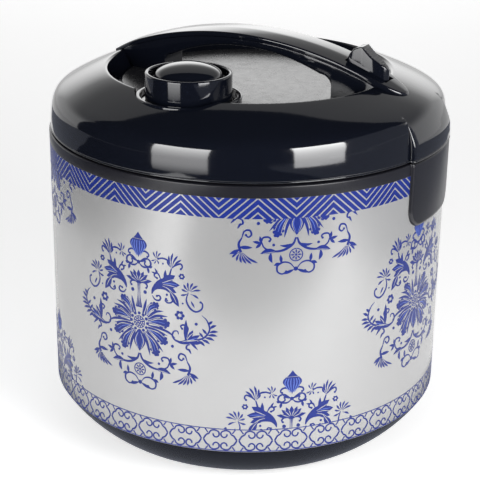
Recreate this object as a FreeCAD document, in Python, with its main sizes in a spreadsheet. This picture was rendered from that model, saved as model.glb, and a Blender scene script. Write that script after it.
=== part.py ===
import FreeCAD, Part
import math
import os
import re

import Sketcher
from FreeCAD import Placement, Rotation, Vector

# Rice cooker with a hinged lid. Millimetres, +Z up, origin on the floor under the pot's axis.
# The latch is at the front (-Y), the hinge at the rear (+Y), the control panel at the right (+X).

doc = FreeCAD.newDocument("rice_cooker")

# Driving dimensions
DIMENSIONS = {
    # body
    "shell_radius": 136.0,
    "shell_wall": 0.8,
    "shell_bottom": 36.0,
    "shell_top": 209.7,
    "seam": 217.5,
    "spigot_radius": 134.9,
    "spigot_wall": 2.0,
    "spigot_depth": 8.0,
    "rim_inner_radius": 123.5,
    "rim_thickness": 4.1,
    "rim_edge": 0.6,
    "tab_radius": 138.2,
    "tab_half_width": 34.5,
    "tab_bottom": 173.0,
    "tab_corner": 13.0,
    "tab_root": 131.0,
    "skin_gap": 0.05,
    # hinge
    "hinge_back": 133.0,
    "hinge_height": 211.0,
    "hinge_pin_radius": 2.0,
    "hinge_pin_half": 27.0,
    "hinge_barrel_radius": 5.0,
    "hinge_half_width": 19.5,
    "notch_half_width": 22.5,
    "notch_floor": 204.0,
    "running_gap": 0.05,
    # latch
    "pocket_half_width": 11.5,
    "pocket_inner": 126.3,
    "pocket_outer": 136.0,
    "pocket_floor": 210.2,
    "keeper_low": 214.0,
    "keeper_high": 215.2,
    "keeper_lip": 128.0,
    "keeper_root": 124.5,
    "keeper_half_width": 9.0,
    "latch_front": 129.5,
    "latch_height": 229.0,
    "latch_pin_radius": 1.5,
    "latch_pin_half": 15.4,
    "hook_half_width": 10.5,
    "hook_leg": 132.3,
    "hook_foot": 211.0,
    "hook_tip": 128.3,
    "hook_arm_end": 90.0,
    "hook_arm_top": 233.5,
    # base
    "base_floor": 5.0,
    "base_floor_radius": 104.0,
    "base_turn_radius": 110.0,
    "base_turn_height": 7.6,
    "base_bow": 95.5,
    "base_wall": 2.5,
    "base_hole_radius": 74.0,
    "cover_radius": 100.0,
    "cover_thickness": 1.5,
    "foot_ring": 84.0,
    "screw_ring": 97.0,
    "foot_radius": 9.0,
    "screw_radius": 1.5,
    "screw_head_radius": 3.2,
    "screw_head": 1.8,
    # inner casing, heater and pot
    "liner_radius": 117.0,
    "liner_wall": 0.6,
    "liner_floor": 44.0,
    "liner_top": 213.2,
    "liner_flange": 125.0,
    "liner_hole": 28.0,
    "plate_radius": 98.0,
    "plate_bottom": 50.0,
    "plate_top": 62.0,
    "plate_bore": 15.0,
    "plate_edge": 3.0,
    "heater_ring": 70.0,
    "heater_rib": 4.0,
    "pot_radius": 114.0,
    "pot_wall": 1.5,
    "pot_bottom": 62.3,
    "pot_corner": 20.0,
    "pot_flange": 120.0,
    "pot_rim": 214.0,
    "band_low": 120.0,
    "band_high": 150.0,
    # thermostat
    "cap_radius": 14.6,
    "cap_wall": 1.0,
    "cap_low": 46.0,
    "ferrite_radius": 9.0,
    "ferrite_low": 55.0,
    "seat_low": 39.0,
    "seat_thickness": 1.5,
    "seat_hole": 10.0,
    "magnet_radius": 8.5,
    "magnet_low": 38.5,
    "magnet_high": 45.5,
    "rod_radius": 3.0,
    "rod_low": 32.3,
    # cooking lever and switch
    "pivot_right": 75.0,
    "pivot_height": 30.0,
    "pivot_radius": 2.0,
    "lever_low": 28.0,
    "lever_high": 32.0,
    "lever_half": 3.5,
    "lever_rise_in": 120.0,
    "lever_rise_out": 123.0,
    "lever_tab_low": 63.0,
    "lever_tab_high": 67.0,
    "lever_tab_end": 133.0,
    "switch_right": 40.0,
    "switch_low": 35.5,
    "plunger_radius": 1.5,
    # control panel
    "panel_half": 22.0,
    "panel_low": 48.0,
    "panel_high": 118.0,
    "panel_skin": 133.0,
    "panel_lap": 3.0,
    "recess_half": 13.0,
    "recess_low": 52.0,
    "recess_high": 72.5,
    "recess_back": 128.2,
    "recess_wall": 1.2,
    "lens_radius": 4.0,
    "lens_cook": 100.0,
    "lens_warm": 86.0,
    "board_back": 121.0,
    "board_thickness": 1.6,
    # power inlet
    "inlet_half": 15.0,
    "inlet_low": 11.0,
    "inlet_high": 33.0,
    "inlet_face": 138.0,
    "inlet_depth": 24.0,
    "inlet_wall": 3.0,
    "inlet_lip": 2.0,
    # lid
    "lid_radius": 135.0,
    "lid_bottom": 218.5,
    "lid_wall": 2.5,
    "wall_top_radius": 134.2,
    "wall_top": 232.0,
    "shoulder_bow": 16.0,
    "shoulder_radius": 124.5,
    "shoulder_height": 246.2,
    "dome_bow": 130.0,
    "dish_rim_radius": 98.0,
    "dish_rim_height": 258.0,
    "dish_lip": 2.0,
    "dish_radius": 88.5,
    "dish_floor": 246.8,
    "dish_plate_radius": 86.0,
    "dish_plate_thickness": 1.5,
    "nose_hollow_half": 17.5,
    "lining_low": 222.0,
    "lining_thickness": 2.0,
    "lining_radius": 132.2,
    "inner_plate_radius": 112.0,
    "inner_plate_low": 216.5,
    "inner_plate_thickness": 1.2,
    "gasket_radius": 121.8,
    "gasket_low": 215.9,
    "gasket_high": 218.6,
    # vent
    "vent_left": 76.5,
    "vent_back": 4.5,
    "cup_radius": 34.1,
    "cup_rim": 255.0,
    "cup_floor": 252.0,
    "cup_bore": 31.0,
    "steam_radius": 6.0,
    "ring_radius": 27.8,
    "ring_wall": 2.2,
    "ring_top": 269.7,
    "ring_ledge": 264.0,
    "dome_radius": 21.7,
    "dome_rise": 11.2,
    "dome_edge": 3.2,
    # handle
    "handle_top": 283.0,
    "handle_arch": 245.0,
    "handle_skin": 4.0,
    "handle_front": 115.0,
    "handle_rear": 106.0,
    "leaf_front_width": 15.5,
    "leaf_front_at": 70.0,
    "leaf_tip_width": 10.4,
    "leaf_tip_at": 104.8,
    "leaf_rear_width": 12.3,
    "leaf_rear_at": 62.0,
    "grip_bow": 135.0,
    "grip_top": 273.9,
    "grip_offset": 3.5,
    "grip_front": 67.3,
    "grip_rear": 59.0,
    "grip_corner": 9.0,
    # trigger
    "trigger_half": 6.0,
    "trigger_gap": 0.6,
    "trigger_rear": 74.2,
    "trigger_back": 9.8,
    "trigger_peak": 281.2,
    "trigger_scoop": 24.0,
    "scoop_front": 105.05,
    "scoop_height": 292.72,
    "trigger_lip_at": 99.4,
    "trigger_lip": 269.4,
    "trigger_front": 101.2,
    "trigger_under": 260.6,
    "trigger_stem_front": 96.0,
    "trigger_stem_rear": 88.0,
    "trigger_stem_half": 5.0,
    "trigger_stem_low": 233.8,
    "trigger_pad": 0.6,
    "pad_rib": 0.35,
}

sizes = doc.addObject("Spreadsheet::Sheet", "Sizes")
for row, (alias, number) in enumerate(DIMENSIONS.items(), start=1):
    sizes.set(f"A{row}", alias.replace("_", " "))
    sizes.set(f"B{row}", str(number))
    sizes.setAlias(f"B{row}", alias)
doc.recompute()

nodes = []


# Sizes in words
def spell(text):
    """An expression in which each dimension's word is read from the sheet."""
    named = lambda found: "Sizes." + found.group(0) if found.group(0) in DIMENSIONS else found.group(0)
    return re.sub(r"[a-z][a-z_]*", named, str(text))


def amount(text):
    return float(sizes.evalExpression(spell(text)))


def bind(part, name, text):
    part.setExpression(name, spell(text))


def deliver(name, part):
    """Name a finished sub-part after its node."""
    part.Label = name
    nodes.append(part)
    return part


def place(part, across, along, up):
    bind(part, "Placement.Base.x", across)
    bind(part, "Placement.Base.y", along)
    bind(part, "Placement.Base.z", up)


# Plain solids
WAYS = {
    "x": Rotation(Vector(0, 1, 0), 90),
    "y": Rotation(Vector(1, 0, 0), -90),
    "z": Rotation(),
}


def block(name, across, along, up):
    """A box between pairs of low and high values."""
    solid = doc.addObject("Part::Box", name)
    for edge, span in zip(("Length", "Width", "Height"), (across, along, up)):
        bind(solid, edge, f"({span[1]}) - ({span[0]})")
    place(solid, across[0], along[0], up[0])
    return solid


def rod(name, radius, start, length, way="z"):
    """A round bar from its start point along one axis."""
    solid = doc.addObject("Part::Cylinder", name)
    bind(solid, "Radius", radius)
    bind(solid, "Height", length)
    solid.Placement = Placement(Vector(), WAYS[way])
    place(solid, *start)
    return solid


def cut(name, base, *tools):
    for number, tool in enumerate(tools):
        result = doc.addObject("Part::Cut", f"{name}_cut{number}")
        result.Base = base
        result.Tool = tool
        base = result
    return base


def fuse(name, *parts):
    result = doc.addObject("Part::MultiFuse", f"{name}_fused")
    result.Shapes = list(parts)
    return result


def common(name, first, second):
    result = doc.addObject("Part::Common", f"{name}_common")
    result.Base = first
    result.Tool = second
    return result


def group(name, parts):
    """Separate solids of one kind that share a node."""
    result = doc.addObject("Part::Compound", f"{name}_group")
    result.Links = list(parts)
    return result


# Drawn solids
def arc_between(start, end, bend):
    """The minor arc that turns left on its way where bend is positive, and right where it is negative."""
    chord = end - start
    left = Vector(-chord.y, chord.x, 0).normalize()
    reach = math.sqrt(bend * bend - chord.Length ** 2 / 4)
    centre = (start + end) * 0.5 + left * math.copysign(reach, bend)
    first, last = (start, end) if bend > 0 else (end, start)
    angles = [math.atan2(point.y - centre.y, point.x - centre.x) for point in (first, last)]
    circle = Part.Circle(centre, Vector(0, 0, 1), abs(bend))
    return Part.ArcOfCircle(circle, angles[0], angles[1])


def hold(sketch, kind, axis, line, end, text):
    """Hold one coordinate of a corner at a value of the sheet."""
    value = amount(text)
    if abs(value) < 1e-9:
        sketch.addConstraint(Sketcher.Constraint("PointOnObject", line, end, axis))
        return
    points = (-1, 1, line, end) if value > 0 else (line, end, -1, 1)
    index = sketch.addConstraint(Sketcher.Constraint(kind, *points, abs(value)))
    bind(sketch, f"Constraints[{index}]", text if value > 0 else f"-({text})")


def draw(sketch, outline):
    """A closed outline of corners (u, v) or (u, v, bend), where bend is the radius of the arc that follows."""
    corners = [Vector(amount(corner[0]), amount(corner[1]), 0) for corner in outline]
    starts = []
    for number, corner in enumerate(outline):
        here = corners[number]
        there = corners[(number + 1) % len(corners)]
        bend = amount(corner[2]) if len(corner) == 3 else 0
        line = arc_between(here, there, bend) if bend else Part.LineSegment(here, there)
        starts.append(2 if bend < 0 else 1)
        sketch.addGeometry(line, False)
    for number, corner in enumerate(outline):
        after = (number + 1) % len(outline)
        ends = (number, 3 - starts[number], after, starts[after])
        sketch.addConstraint(Sketcher.Constraint("Coincident", *ends))
    for number, corner in enumerate(outline):
        hold(sketch, "DistanceX", -2, number, starts[number], corner[0])
        hold(sketch, "DistanceY", -1, number, starts[number], corner[1])
        if len(corner) == 3:
            bend = corner[2] if amount(corner[2]) > 0 else f"-({corner[2]})"
            index = sketch.addConstraint(Sketcher.Constraint("Radius", number, amount(bend)))
            bind(sketch, f"Constraints[{index}]", bend)


def sketched_body(name, plane, outline):
    body = doc.addObject("PartDesign::Body", f"{name}_body")
    sketch = body.newObject("Sketcher::SketchObject", f"{name}_outline")
    support = [item for item in body.Origin.OriginFeatures if item.Role == plane][0]
    sketch.AttachmentSupport = [(support, "")]
    sketch.MapMode = "FlatFace"
    draw(sketch, outline)
    return body, sketch


def turned(name, outline, angle=None, facing=0):
    """A piece turned about Z: all round, or a sector whose middle faces that many degrees from +X."""
    body, sketch = sketched_body(name, "XZ_Plane", outline)
    turn = body.newObject("PartDesign::Revolution", f"{name}_turn")
    turn.Profile = sketch
    turn.ReferenceAxis = (sketch, ["V_Axis"])
    turn.Angle = 360
    if angle:
        turn.Midplane = True
        bind(turn, "Angle", angle)
    body.Placement = Placement(Vector(), Rotation(Vector(0, 0, 1), facing))
    return body


def padded(name, plane, outline, half):
    """A flat outline padded to both sides of its plane."""
    body, sketch = sketched_body(name, plane, outline)
    pad = body.newObject("PartDesign::Pad", f"{name}_pad")
    pad.Profile = sketch
    pad.SideType = "Symmetric"
    bind(pad, "Length", f"2 * ({half})")
    return body


def polar(count, radius, first=0):
    """Points evenly spaced on a circle, as expressions."""
    for number in range(count):
        angle = math.radians(first + 360 * number / count)
        yield f"{math.cos(angle):.6f} * ({radius})", f"{math.sin(angle):.6f} * ({radius})"


def coil(name, centre, radius, wire, low, high, turns):
    """A round-wire spring about Z, as one tube along arcs that follow its helix."""
    steps = 4 * turns
    rise = (high - low - 2 * wire) / (2 * math.pi * turns)

    def on_helix(step):
        angle = step * math.pi / 2
        point = Vector(radius * math.cos(angle), radius * math.sin(angle), low + wire + rise * angle)
        return point, Vector(-radius * math.sin(angle), radius * math.cos(angle), rise).normalize()

    def arc_edge(start, knee, end):
        middle = (start + end) * 0.5
        half = (end - start).Length / 2
        slope = math.acos(half / (knee - start).Length)
        crown = middle + (knee - middle).normalize() * half * math.tan(slope / 2)
        return Part.Arc(start, crown, end).toShape()

    edges = []
    for step in range(steps):
        start, leaving = on_helix(step)
        end, arriving = on_helix(step + 1)
        span = end - start
        both = leaving + arriving
        spread = 2 * (1 - leaving.dot(arriving))
        reach = (-span.dot(both) + math.sqrt(span.dot(both) ** 2 + spread * span.dot(span))) / spread
        knees = (start + leaving * reach, end - arriving * reach)
        joint = (knees[0] + knees[1]) * 0.5
        edges.append(arc_edge(start, knees[0], joint))
        edges.append(arc_edge(joint, knees[1], end))
    start, leaving = on_helix(0)
    section = Part.Wire([Part.Circle(start, leaving, wire).toShape()])
    spring = doc.addObject("Part::Feature", name)
    spring.Shape = Part.Wire(edges).makePipeShell([section], True, False)
    spring.Placement = Placement(Vector(*centre), Rotation())
    print(name, "gap between turns", round((high - low - 2 * wire) / turns - 2 * wire, 2))
    return spring


# Outer shell: printed steel sheet rolled into a cylinder, cut out for the panel and the hinge
shell = turned("outer_shell", [
    ("shell_radius - shell_wall", "shell_bottom"),
    ("shell_radius", "shell_bottom"),
    ("shell_radius", "shell_top"),
    ("shell_radius - shell_wall", "shell_top"),
])
panel_window = block("panel_window", ("100", "150"), ("-panel_half - 0.1", "panel_half + 0.1"),
                     ("panel_low - 0.1", "panel_high + 0.1"))
hinge_window = block("hinge_window", ("-hinge_pin_half - 1", "hinge_pin_half + 1"),
                     ("100", "150"), ("notch_floor - 0.5", "seam"))
deliver("outer_shell", cut("outer_shell", shell, panel_window, hinge_window))

# Rim ring: moulded ring on the shell, with a latch tab in front and two hinge ears behind
ring = turned("rim_ring", [
    ("rim_inner_radius", "seam - rim_thickness"),
    ("spigot_radius - spigot_wall", "seam - rim_thickness"),
    ("spigot_radius - spigot_wall", "shell_top - spigot_depth"),
    ("spigot_radius", "shell_top - spigot_depth"),
    ("spigot_radius", "shell_top"),
    ("shell_radius", "shell_top"),
    ("shell_radius", "seam - rim_edge"),
    ("shell_radius - rim_edge", "seam"),
    ("rim_inner_radius", "seam"),
])
TAB_ANGLE = "2 * asin(tab_half_width / tab_radius)"


def tab(name, facing):
    """A shield-shaped tab that hangs from the ring over the shell, with round lower corners."""
    blank = turned(name, [
        ("shell_radius + skin_gap", "tab_bottom"),
        ("tab_radius", "tab_bottom"),
        ("tab_radius", "seam"),
        ("tab_root", "seam"),
        ("tab_root", "shell_top + 0.4"),
        ("shell_radius + skin_gap", "shell_top + 0.4"),
    ], TAB_ANGLE, facing)
    doc.recompute()
    rounded = doc.addObject("Part::Fillet", f"{name}_rounded")
    rounded.Base = blank
    corner = amount("tab_corner")
    low = amount("tab_bottom")
    edges = []
    for number, edge in enumerate(blank.Shape.Edges, start=1):
        box = edge.BoundBox
        straight = isinstance(edge.Curve, Part.Line)
        if straight and box.ZMax < low + 0.1:
            edges.append((number, corner, corner))
    rounded.Edges = edges
    return rounded


latch_tab = tab("latch_tab", -90)
hinge_tab = tab("hinge_tab", 90)
ring_with_tabs = fuse("rim_ring", ring, latch_tab, hinge_tab)
hinge_notch = block("hinge_notch", ("-notch_half_width", "notch_half_width"), ("120", "150"),
                    ("notch_floor", "seam + 1"))
latch_pocket = block("latch_pocket", ("-pocket_half_width", "pocket_half_width"),
                     ("-pocket_outer", "-pocket_inner"), ("pocket_floor", "seam + 1"))
keeper_slot = block("keeper_slot", ("-keeper_half_width", "keeper_half_width"),
                    ("-pocket_inner", "-keeper_root"), ("keeper_low", "keeper_high"))
pin_bore = rod("pin_bore", "hinge_pin_radius", ("-hinge_pin_half", "hinge_back", "hinge_height"),
               "2 * hinge_pin_half", "x")
deliver("rim_ring", cut("rim_ring", ring_with_tabs, hinge_notch, latch_pocket, keeper_slot, pin_bore))

# Latch keeper: steel strip in the front pocket that the hook's tooth catches under
deliver("latch_keeper", block("latch_keeper", ("-keeper_half_width", "keeper_half_width"),
                              ("-keeper_lip", "-keeper_root"), ("keeper_low", "keeper_high")))

# Hinge pin: steel rod pressed through the two ears
deliver("hinge_pin", rod("hinge_pin", "hinge_pin_radius",
                         ("-hinge_pin_half", "hinge_back", "hinge_height"), "2 * hinge_pin_half", "x"))

# Base housing: moulded bowl under the shell, open below and cut out for the power inlet
bowl = turned("base_housing", [
    ("base_hole_radius", "base_floor"),
    ("base_floor_radius", "base_floor"),
    ("base_turn_radius", "base_turn_height", "base_bow"),
    ("shell_radius", "shell_bottom"),
    ("spigot_radius", "shell_bottom"),
    ("spigot_radius", "shell_bottom + spigot_depth"),
    ("spigot_radius - spigot_wall", "shell_bottom + spigot_depth"),
    ("spigot_radius - spigot_wall", "shell_bottom + 0.5", "-(base_bow - base_wall)"),
    ("base_turn_radius - 1.4", "base_turn_height + 2.4"),
    ("base_floor_radius - 0.6", "base_floor + base_wall"),
    ("base_hole_radius", "base_floor + base_wall"),
])
inlet_window = block("inlet_window", ("-inlet_half", "inlet_half"), ("100", "inlet_face + 10"),
                     ("inlet_low", "inlet_high"))
base_holes = [rod(f"base_hole{number}", "screw_radius + running_gap", (x, y, "base_floor - 1"), "base_wall + 2")
              for number, (x, y) in enumerate(polar(4, "screw_ring"))]
deliver("base_housing", cut("base_housing", bowl, inlet_window, *base_holes))

# Bottom cover: pressed disc inside the bowl's floor ring, with cooling slots and screw holes
cover_body = doc.addObject("PartDesign::Body", "bottom_cover_body")
planes = {item.Role: item for item in cover_body.Origin.OriginFeatures}


def cover_sketch(name):
    sketch = cover_body.newObject("Sketcher::SketchObject", name)
    sketch.AttachmentSupport = [(planes["XY_Plane"], "")]
    sketch.MapMode = "FlatFace"
    return sketch


disc_sketch = cover_sketch("bottom_cover_disc")
disc_sketch.addGeometry(Part.Circle(Vector(), Vector(0, 0, 1), amount("cover_radius")), False)
disc_sketch.addConstraint(Sketcher.Constraint("Coincident", 0, 3, -1, 1))
disc_sketch.addConstraint(Sketcher.Constraint("Radius", 0, amount("cover_radius")))
bind(disc_sketch, "Constraints[1]", "cover_radius")
disc = cover_body.newObject("PartDesign::Pad", "bottom_cover_pad")
disc.Profile = disc_sketch
bind(disc, "Length", "cover_thickness")
slot_sketch = cover_sketch("bottom_cover_slot")
draw(slot_sketch, [("45", "-2.5"), ("72", "-2.5"), ("72", "2.5"), ("45", "2.5")])
slot = cover_body.newObject("PartDesign::Pocket", "bottom_cover_slots")
slot.Profile = slot_sketch
slot.Type = "ThroughAll"
slot.SideType = "Symmetric"
hole_sketch = cover_sketch("bottom_cover_hole")
hole_sketch.addGeometry(Part.Circle(Vector(amount("screw_ring"), 0, 0), Vector(0, 0, 1), 1), False)
hole_sketch.addConstraint(Sketcher.Constraint("PointOnObject", 0, 3, -1))
hole_sketch.addConstraint(Sketcher.Constraint("DistanceX", -1, 1, 0, 3, amount("screw_ring")))
hole_sketch.addConstraint(Sketcher.Constraint("Radius", 0, amount("screw_radius + running_gap")))
bind(hole_sketch, "Constraints[1]", "screw_ring")
bind(hole_sketch, "Constraints[2]", "screw_radius + running_gap")
screw_hole = cover_body.newObject("PartDesign::Pocket", "bottom_cover_holes")
screw_hole.Profile = hole_sketch
screw_hole.Type = "ThroughAll"
screw_hole.SideType = "Symmetric"
doc.recompute()
for feature, count in ((slot, 12), (screw_hole, 4)):
    pattern = cover_body.newObject("PartDesign::PolarPattern", f"{feature.Name}_round")
    pattern.Originals = [feature]
    pattern.Axis = (disc_sketch, ["N_Axis"])
    pattern.Angle = 360
    pattern.Occurrences = count
    cover_body.Tip = pattern
    doc.recompute()
place(cover_body, "0", "0", "base_floor + base_wall")
deliver("bottom_cover", cover_body)

# Rubber feet and base screws: four of each, in turn round the floor ring
feet = [rod(f"foot{number}", "foot_radius", (x, y, "0"), "base_floor")
        for number, (x, y) in enumerate(polar(4, "foot_ring", 45))]
deliver("rubber_feet", group("rubber_feet", feet))


def screw(name, x, y, seat, length):
    head = rod(f"{name}_head", "screw_head_radius", (x, y, f"{seat} - screw_head"), "screw_head")
    shank = rod(f"{name}_shank", "screw_radius", (x, y, seat), length)
    return fuse(name, head, shank)


base_screws = [screw(f"base_screw{number}", x, y, "base_floor", "base_wall + cover_thickness + 2")
               for number, (x, y) in enumerate(polar(4, "screw_ring"))]
deliver("base_screws", group("base_screws", base_screws))

# Inner liner: sheet-steel can round the pot, with a flange under the rim ring
can = turned("inner_liner", [
    ("liner_hole", "liner_floor"),
    ("liner_radius + liner_wall", "liner_floor"),
    ("liner_radius + liner_wall", "liner_top - liner_wall"),
    ("liner_flange", "liner_top - liner_wall"),
    ("liner_flange", "liner_top"),
    ("liner_radius", "liner_top"),
    ("liner_radius", "liner_floor + liner_wall"),
    ("liner_hole", "liner_floor + liner_wall"),
])
TERMINALS = (("-35", "42"), ("-35", "-42"))
terminal_holes = [rod(f"terminal_hole{number}", "heater_rib + 2", (x, y, "liner_floor - 1"), "3")
                  for number, (x, y) in enumerate(TERMINALS)]
deliver("inner_liner", cut("inner_liner", can, *terminal_holes))
posts = [rod(f"post{number}", "5", (x, y, "base_floor + base_wall + cover_thickness"),
             "liner_floor - base_floor - base_wall - cover_thickness")
         for number, (x, y) in enumerate(polar(3, "85", 60))]
deliver("support_posts", group("support_posts", posts))

# Heating plate: cast aluminium disc with its element cast into a rib below, on three spacers
deliver("heating_plate", turned("heating_plate", [
    ("plate_bore", "plate_bottom"),
    ("heater_ring - heater_rib", "plate_bottom"),
    ("heater_ring - heater_rib", "plate_bottom - heater_rib / 2"),
    ("heater_ring + heater_rib", "plate_bottom - heater_rib / 2"),
    ("heater_ring + heater_rib", "plate_bottom"),
    ("plate_radius", "plate_bottom"),
    ("plate_radius", "plate_top - plate_edge"),
    ("plate_radius - plate_edge", "plate_top"),
    ("plate_bore", "plate_top"),
]))
spacers = [rod(f"spacer{number}", "4", (x, y, "liner_floor + liner_wall"),
               "plate_bottom - liner_floor - liner_wall")
           for number, (x, y) in enumerate(polar(3, "85"))]
deliver("heater_spacers", group("heater_spacers", spacers))
terminals = [rod(f"terminal{number}", "3", (x, y, "lever_low"), "plate_bottom - lever_low")
             for number, (x, y) in enumerate(TERMINALS)]
deliver("heater_terminals", group("heater_terminals", terminals))
deliver("thermal_fuse", rod("thermal_fuse", "2.2", ("-20", "45", "plate_bottom - 2.2"), "25", "x"))
band_inner = "liner_radius + liner_wall + skin_gap"
deliver("keep_warm_band", turned("keep_warm_band", [
    (band_inner, "band_low"),
    (f"{band_inner} + 1.3", "band_low"),
    (f"{band_inner} + 1.3", "band_high"),
    (band_inner, "band_high"),
]))

# Inner pot: drawn aluminium pot with a turned-out rim
deliver("inner_pot", turned("inner_pot", [
    ("0", "pot_bottom"),
    ("pot_radius - pot_corner", "pot_bottom", "pot_corner"),
    ("pot_radius", "pot_bottom + pot_corner"),
    ("pot_radius", "pot_rim"),
    ("pot_flange", "pot_rim"),
    ("pot_flange", "pot_rim + pot_wall"),
    ("pot_radius - pot_wall", "pot_rim + pot_wall"),
    ("pot_radius - pot_wall", "pot_bottom + pot_corner", "pot_wall - pot_corner"),
    ("pot_radius - pot_corner", "pot_bottom + pot_wall"),
    ("0", "pot_bottom + pot_wall"),
]))

# Thermostat: sprung cap with a ferrite in the plate's bore, above a magnet that the lever lifts
deliver("thermostat_cap", turned("thermostat_cap", [
    ("0", "plate_top - cap_wall"),
    ("cap_radius - cap_wall", "plate_top - cap_wall"),
    ("cap_radius - cap_wall", "cap_low"),
    ("cap_radius", "cap_low"),
    ("cap_radius", "plate_top"),
    ("0", "plate_top"),
]))
deliver("thermostat_ferrite", rod("thermostat_ferrite", "ferrite_radius", ("0", "0", "ferrite_low"),
                                  "plate_top - cap_wall - ferrite_low"))
seat_plate = block("seat_plate", ("-14", "14"), ("-24", "24"), ("seat_low", "seat_low + seat_thickness"))
seat_legs = [block(f"seat_leg{number}", ("-8", "8"), span, ("seat_low", "plate_bottom"))
             for number, span in enumerate((("-24", "-22.5"), ("22.5", "24")))]
seat_hole = rod("seat_bore", "seat_hole", ("0", "0", "seat_low - 1"), "4")
deliver("thermostat_bracket", cut("thermostat_bracket", fuse("thermostat_bracket", seat_plate, *seat_legs),
                                  seat_hole))
deliver("thermostat_spring", coil("thermostat_spring", (0, 0, 0), 11.6, 0.6,
                                  amount("seat_low + seat_thickness"), amount("plate_top - cap_wall"), 6))
deliver("lower_magnet", rod("lower_magnet", "magnet_radius", ("0", "0", "magnet_low"),
                            "magnet_high - magnet_low"))
deliver("magnet_rod", rod("magnet_rod", "rod_radius", ("0", "0", "rod_low"), "magnet_low - rod_low"))

# Cooking lever: steel bar from under the magnet out to a knob in the panel's recess
bar = padded("cook_lever", "XZ_Plane", [
    ("-6", "lever_low"),
    ("lever_rise_out", "lever_low"),
    ("lever_rise_out", "lever_tab_low"),
    ("lever_tab_end", "lever_tab_low"),
    ("lever_tab_end", "lever_tab_high"),
    ("lever_rise_in", "lever_tab_high"),
    ("lever_rise_in", "lever_high"),
    ("-6", "lever_high"),
], "lever_half")
pivot_boss = rod("pivot_boss", "pivot_radius + 2.5", ("pivot_right", "-lever_half", "pivot_height"),
                 "2 * lever_half", "y")
pivot_bore = rod("pivot_bore", "pivot_radius + running_gap", ("pivot_right", "-lever_half - 1", "pivot_height"),
                 "2 * lever_half + 2", "y")
deliver("cook_lever", cut("cook_lever", fuse("cook_lever", bar, pivot_boss), pivot_bore))
knob = block("knob_blank", ("recess_back + 1", "shell_radius - 1"), ("-11", "11"),
             ("lever_tab_low - 4", "lever_tab_high + 3"))
knob_slot = block("knob_slot", ("recess_back", "lever_tab_end"), ("-lever_half", "lever_half"),
                  ("lever_tab_low", "lever_tab_high"))
deliver("lever_knob", cut("lever_knob", knob, knob_slot))
bracket_floor = "base_floor + base_wall + cover_thickness"
ears = [block(f"lever_ear{number}", ("pivot_right - 5", "pivot_right + 5"), span,
              (bracket_floor, "pivot_height + 5"))
        for number, span in enumerate((("-6", "-4.5"), ("4.5", "6")))]
bracket_foot = block("bracket_foot", ("pivot_right - 5", "pivot_right + 5"), ("-14", "14"),
                     (bracket_floor, f"{bracket_floor} + 1.5"))
pivot_pin = rod("pivot_pin", "pivot_radius", ("pivot_right", "-6", "pivot_height"), "12", "y")
deliver("lever_bracket", fuse("lever_bracket", bracket_foot, pivot_pin, *ears))

# Microswitch: sealed switch under the liner's floor with a plunger above the lever
switch_case = block("switch_case", ("switch_right - 7", "switch_right + 7"), ("-4", "4"),
                    ("switch_low", "liner_floor"))
switch_bore = rod("switch_bore", "plunger_radius + 0.3", ("switch_right", "0", "switch_low - 1"), "8")
deliver("microswitch", cut("microswitch", switch_case, switch_bore))
deliver("switch_plunger", rod("switch_plunger", "plunger_radius", ("switch_right", "0", "lever_high + 0.3"),
                              "7"))

# Control panel: moulded insert flush with the shell, with a recess for the knob and two lamp holes
lap = turned("panel_lap", [
    ("panel_skin", "panel_low - panel_lap"),
    ("shell_radius - shell_wall - skin_gap", "panel_low - panel_lap"),
    ("shell_radius - shell_wall - skin_gap", "panel_high + panel_lap"),
    ("panel_skin", "panel_high + panel_lap"),
], "2 * asin((panel_half + panel_lap) / panel_skin)")
face_ring = turned("panel_face", [
    ("panel_skin", "panel_low"),
    ("shell_radius", "panel_low"),
    ("shell_radius", "panel_high"),
    ("panel_skin", "panel_high"),
], "60")
face_window = block("face_window", ("100", "150"), ("-panel_half", "panel_half"), ("panel_low", "panel_high"))
panel_face = common("panel_face", face_ring, face_window)
recess_box = block("recess_box", ("recess_back - recess_wall", "panel_skin + 0.5"),
                   ("-recess_half - recess_wall", "recess_half + recess_wall"),
                   ("recess_low - recess_wall", "recess_high + recess_wall"))
recess_room = block("recess_room", ("recess_back", "shell_radius + 5"), ("-recess_half", "recess_half"),
                    ("recess_low", "recess_high"))
tab_slot = block("tab_slot", ("recess_back - 5", "shell_radius"), ("-lever_half - 0.7", "lever_half + 0.7"),
                 ("lever_tab_low - 7", "lever_tab_high + 1"))
lens_holes = [rod(f"lens_hole_{word}", "lens_radius + skin_gap", ("panel_skin - 5", "0", f"lens_{word}"), "15", "x")
              for word in ("cook", "warm")]
deliver("control_panel", cut("control_panel", fuse("control_panel", lap, panel_face, recess_box),
                             recess_room, tab_slot, *lens_holes))
for word in ("cook", "warm"):
    deliver(f"{word}_lens", rod(f"{word}_lens", "lens_radius", ("panel_skin - 2", "0", f"lens_{word}"),
                                "shell_radius - panel_skin + 1.9", "x"))
deliver("lamp_board", block("lamp_board", ("board_back", "board_back + board_thickness"), ("-15", "15"),
                            ("lens_warm - 7", "lens_cook + 7")))
lamps = [rod(f"lamp_{word}", "2.5", ("board_back + board_thickness", "0", f"lens_{word}"), "7", "x")
         for word in ("cook", "warm")]
deliver("indicator_lamps", group("indicator_lamps", lamps))

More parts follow.
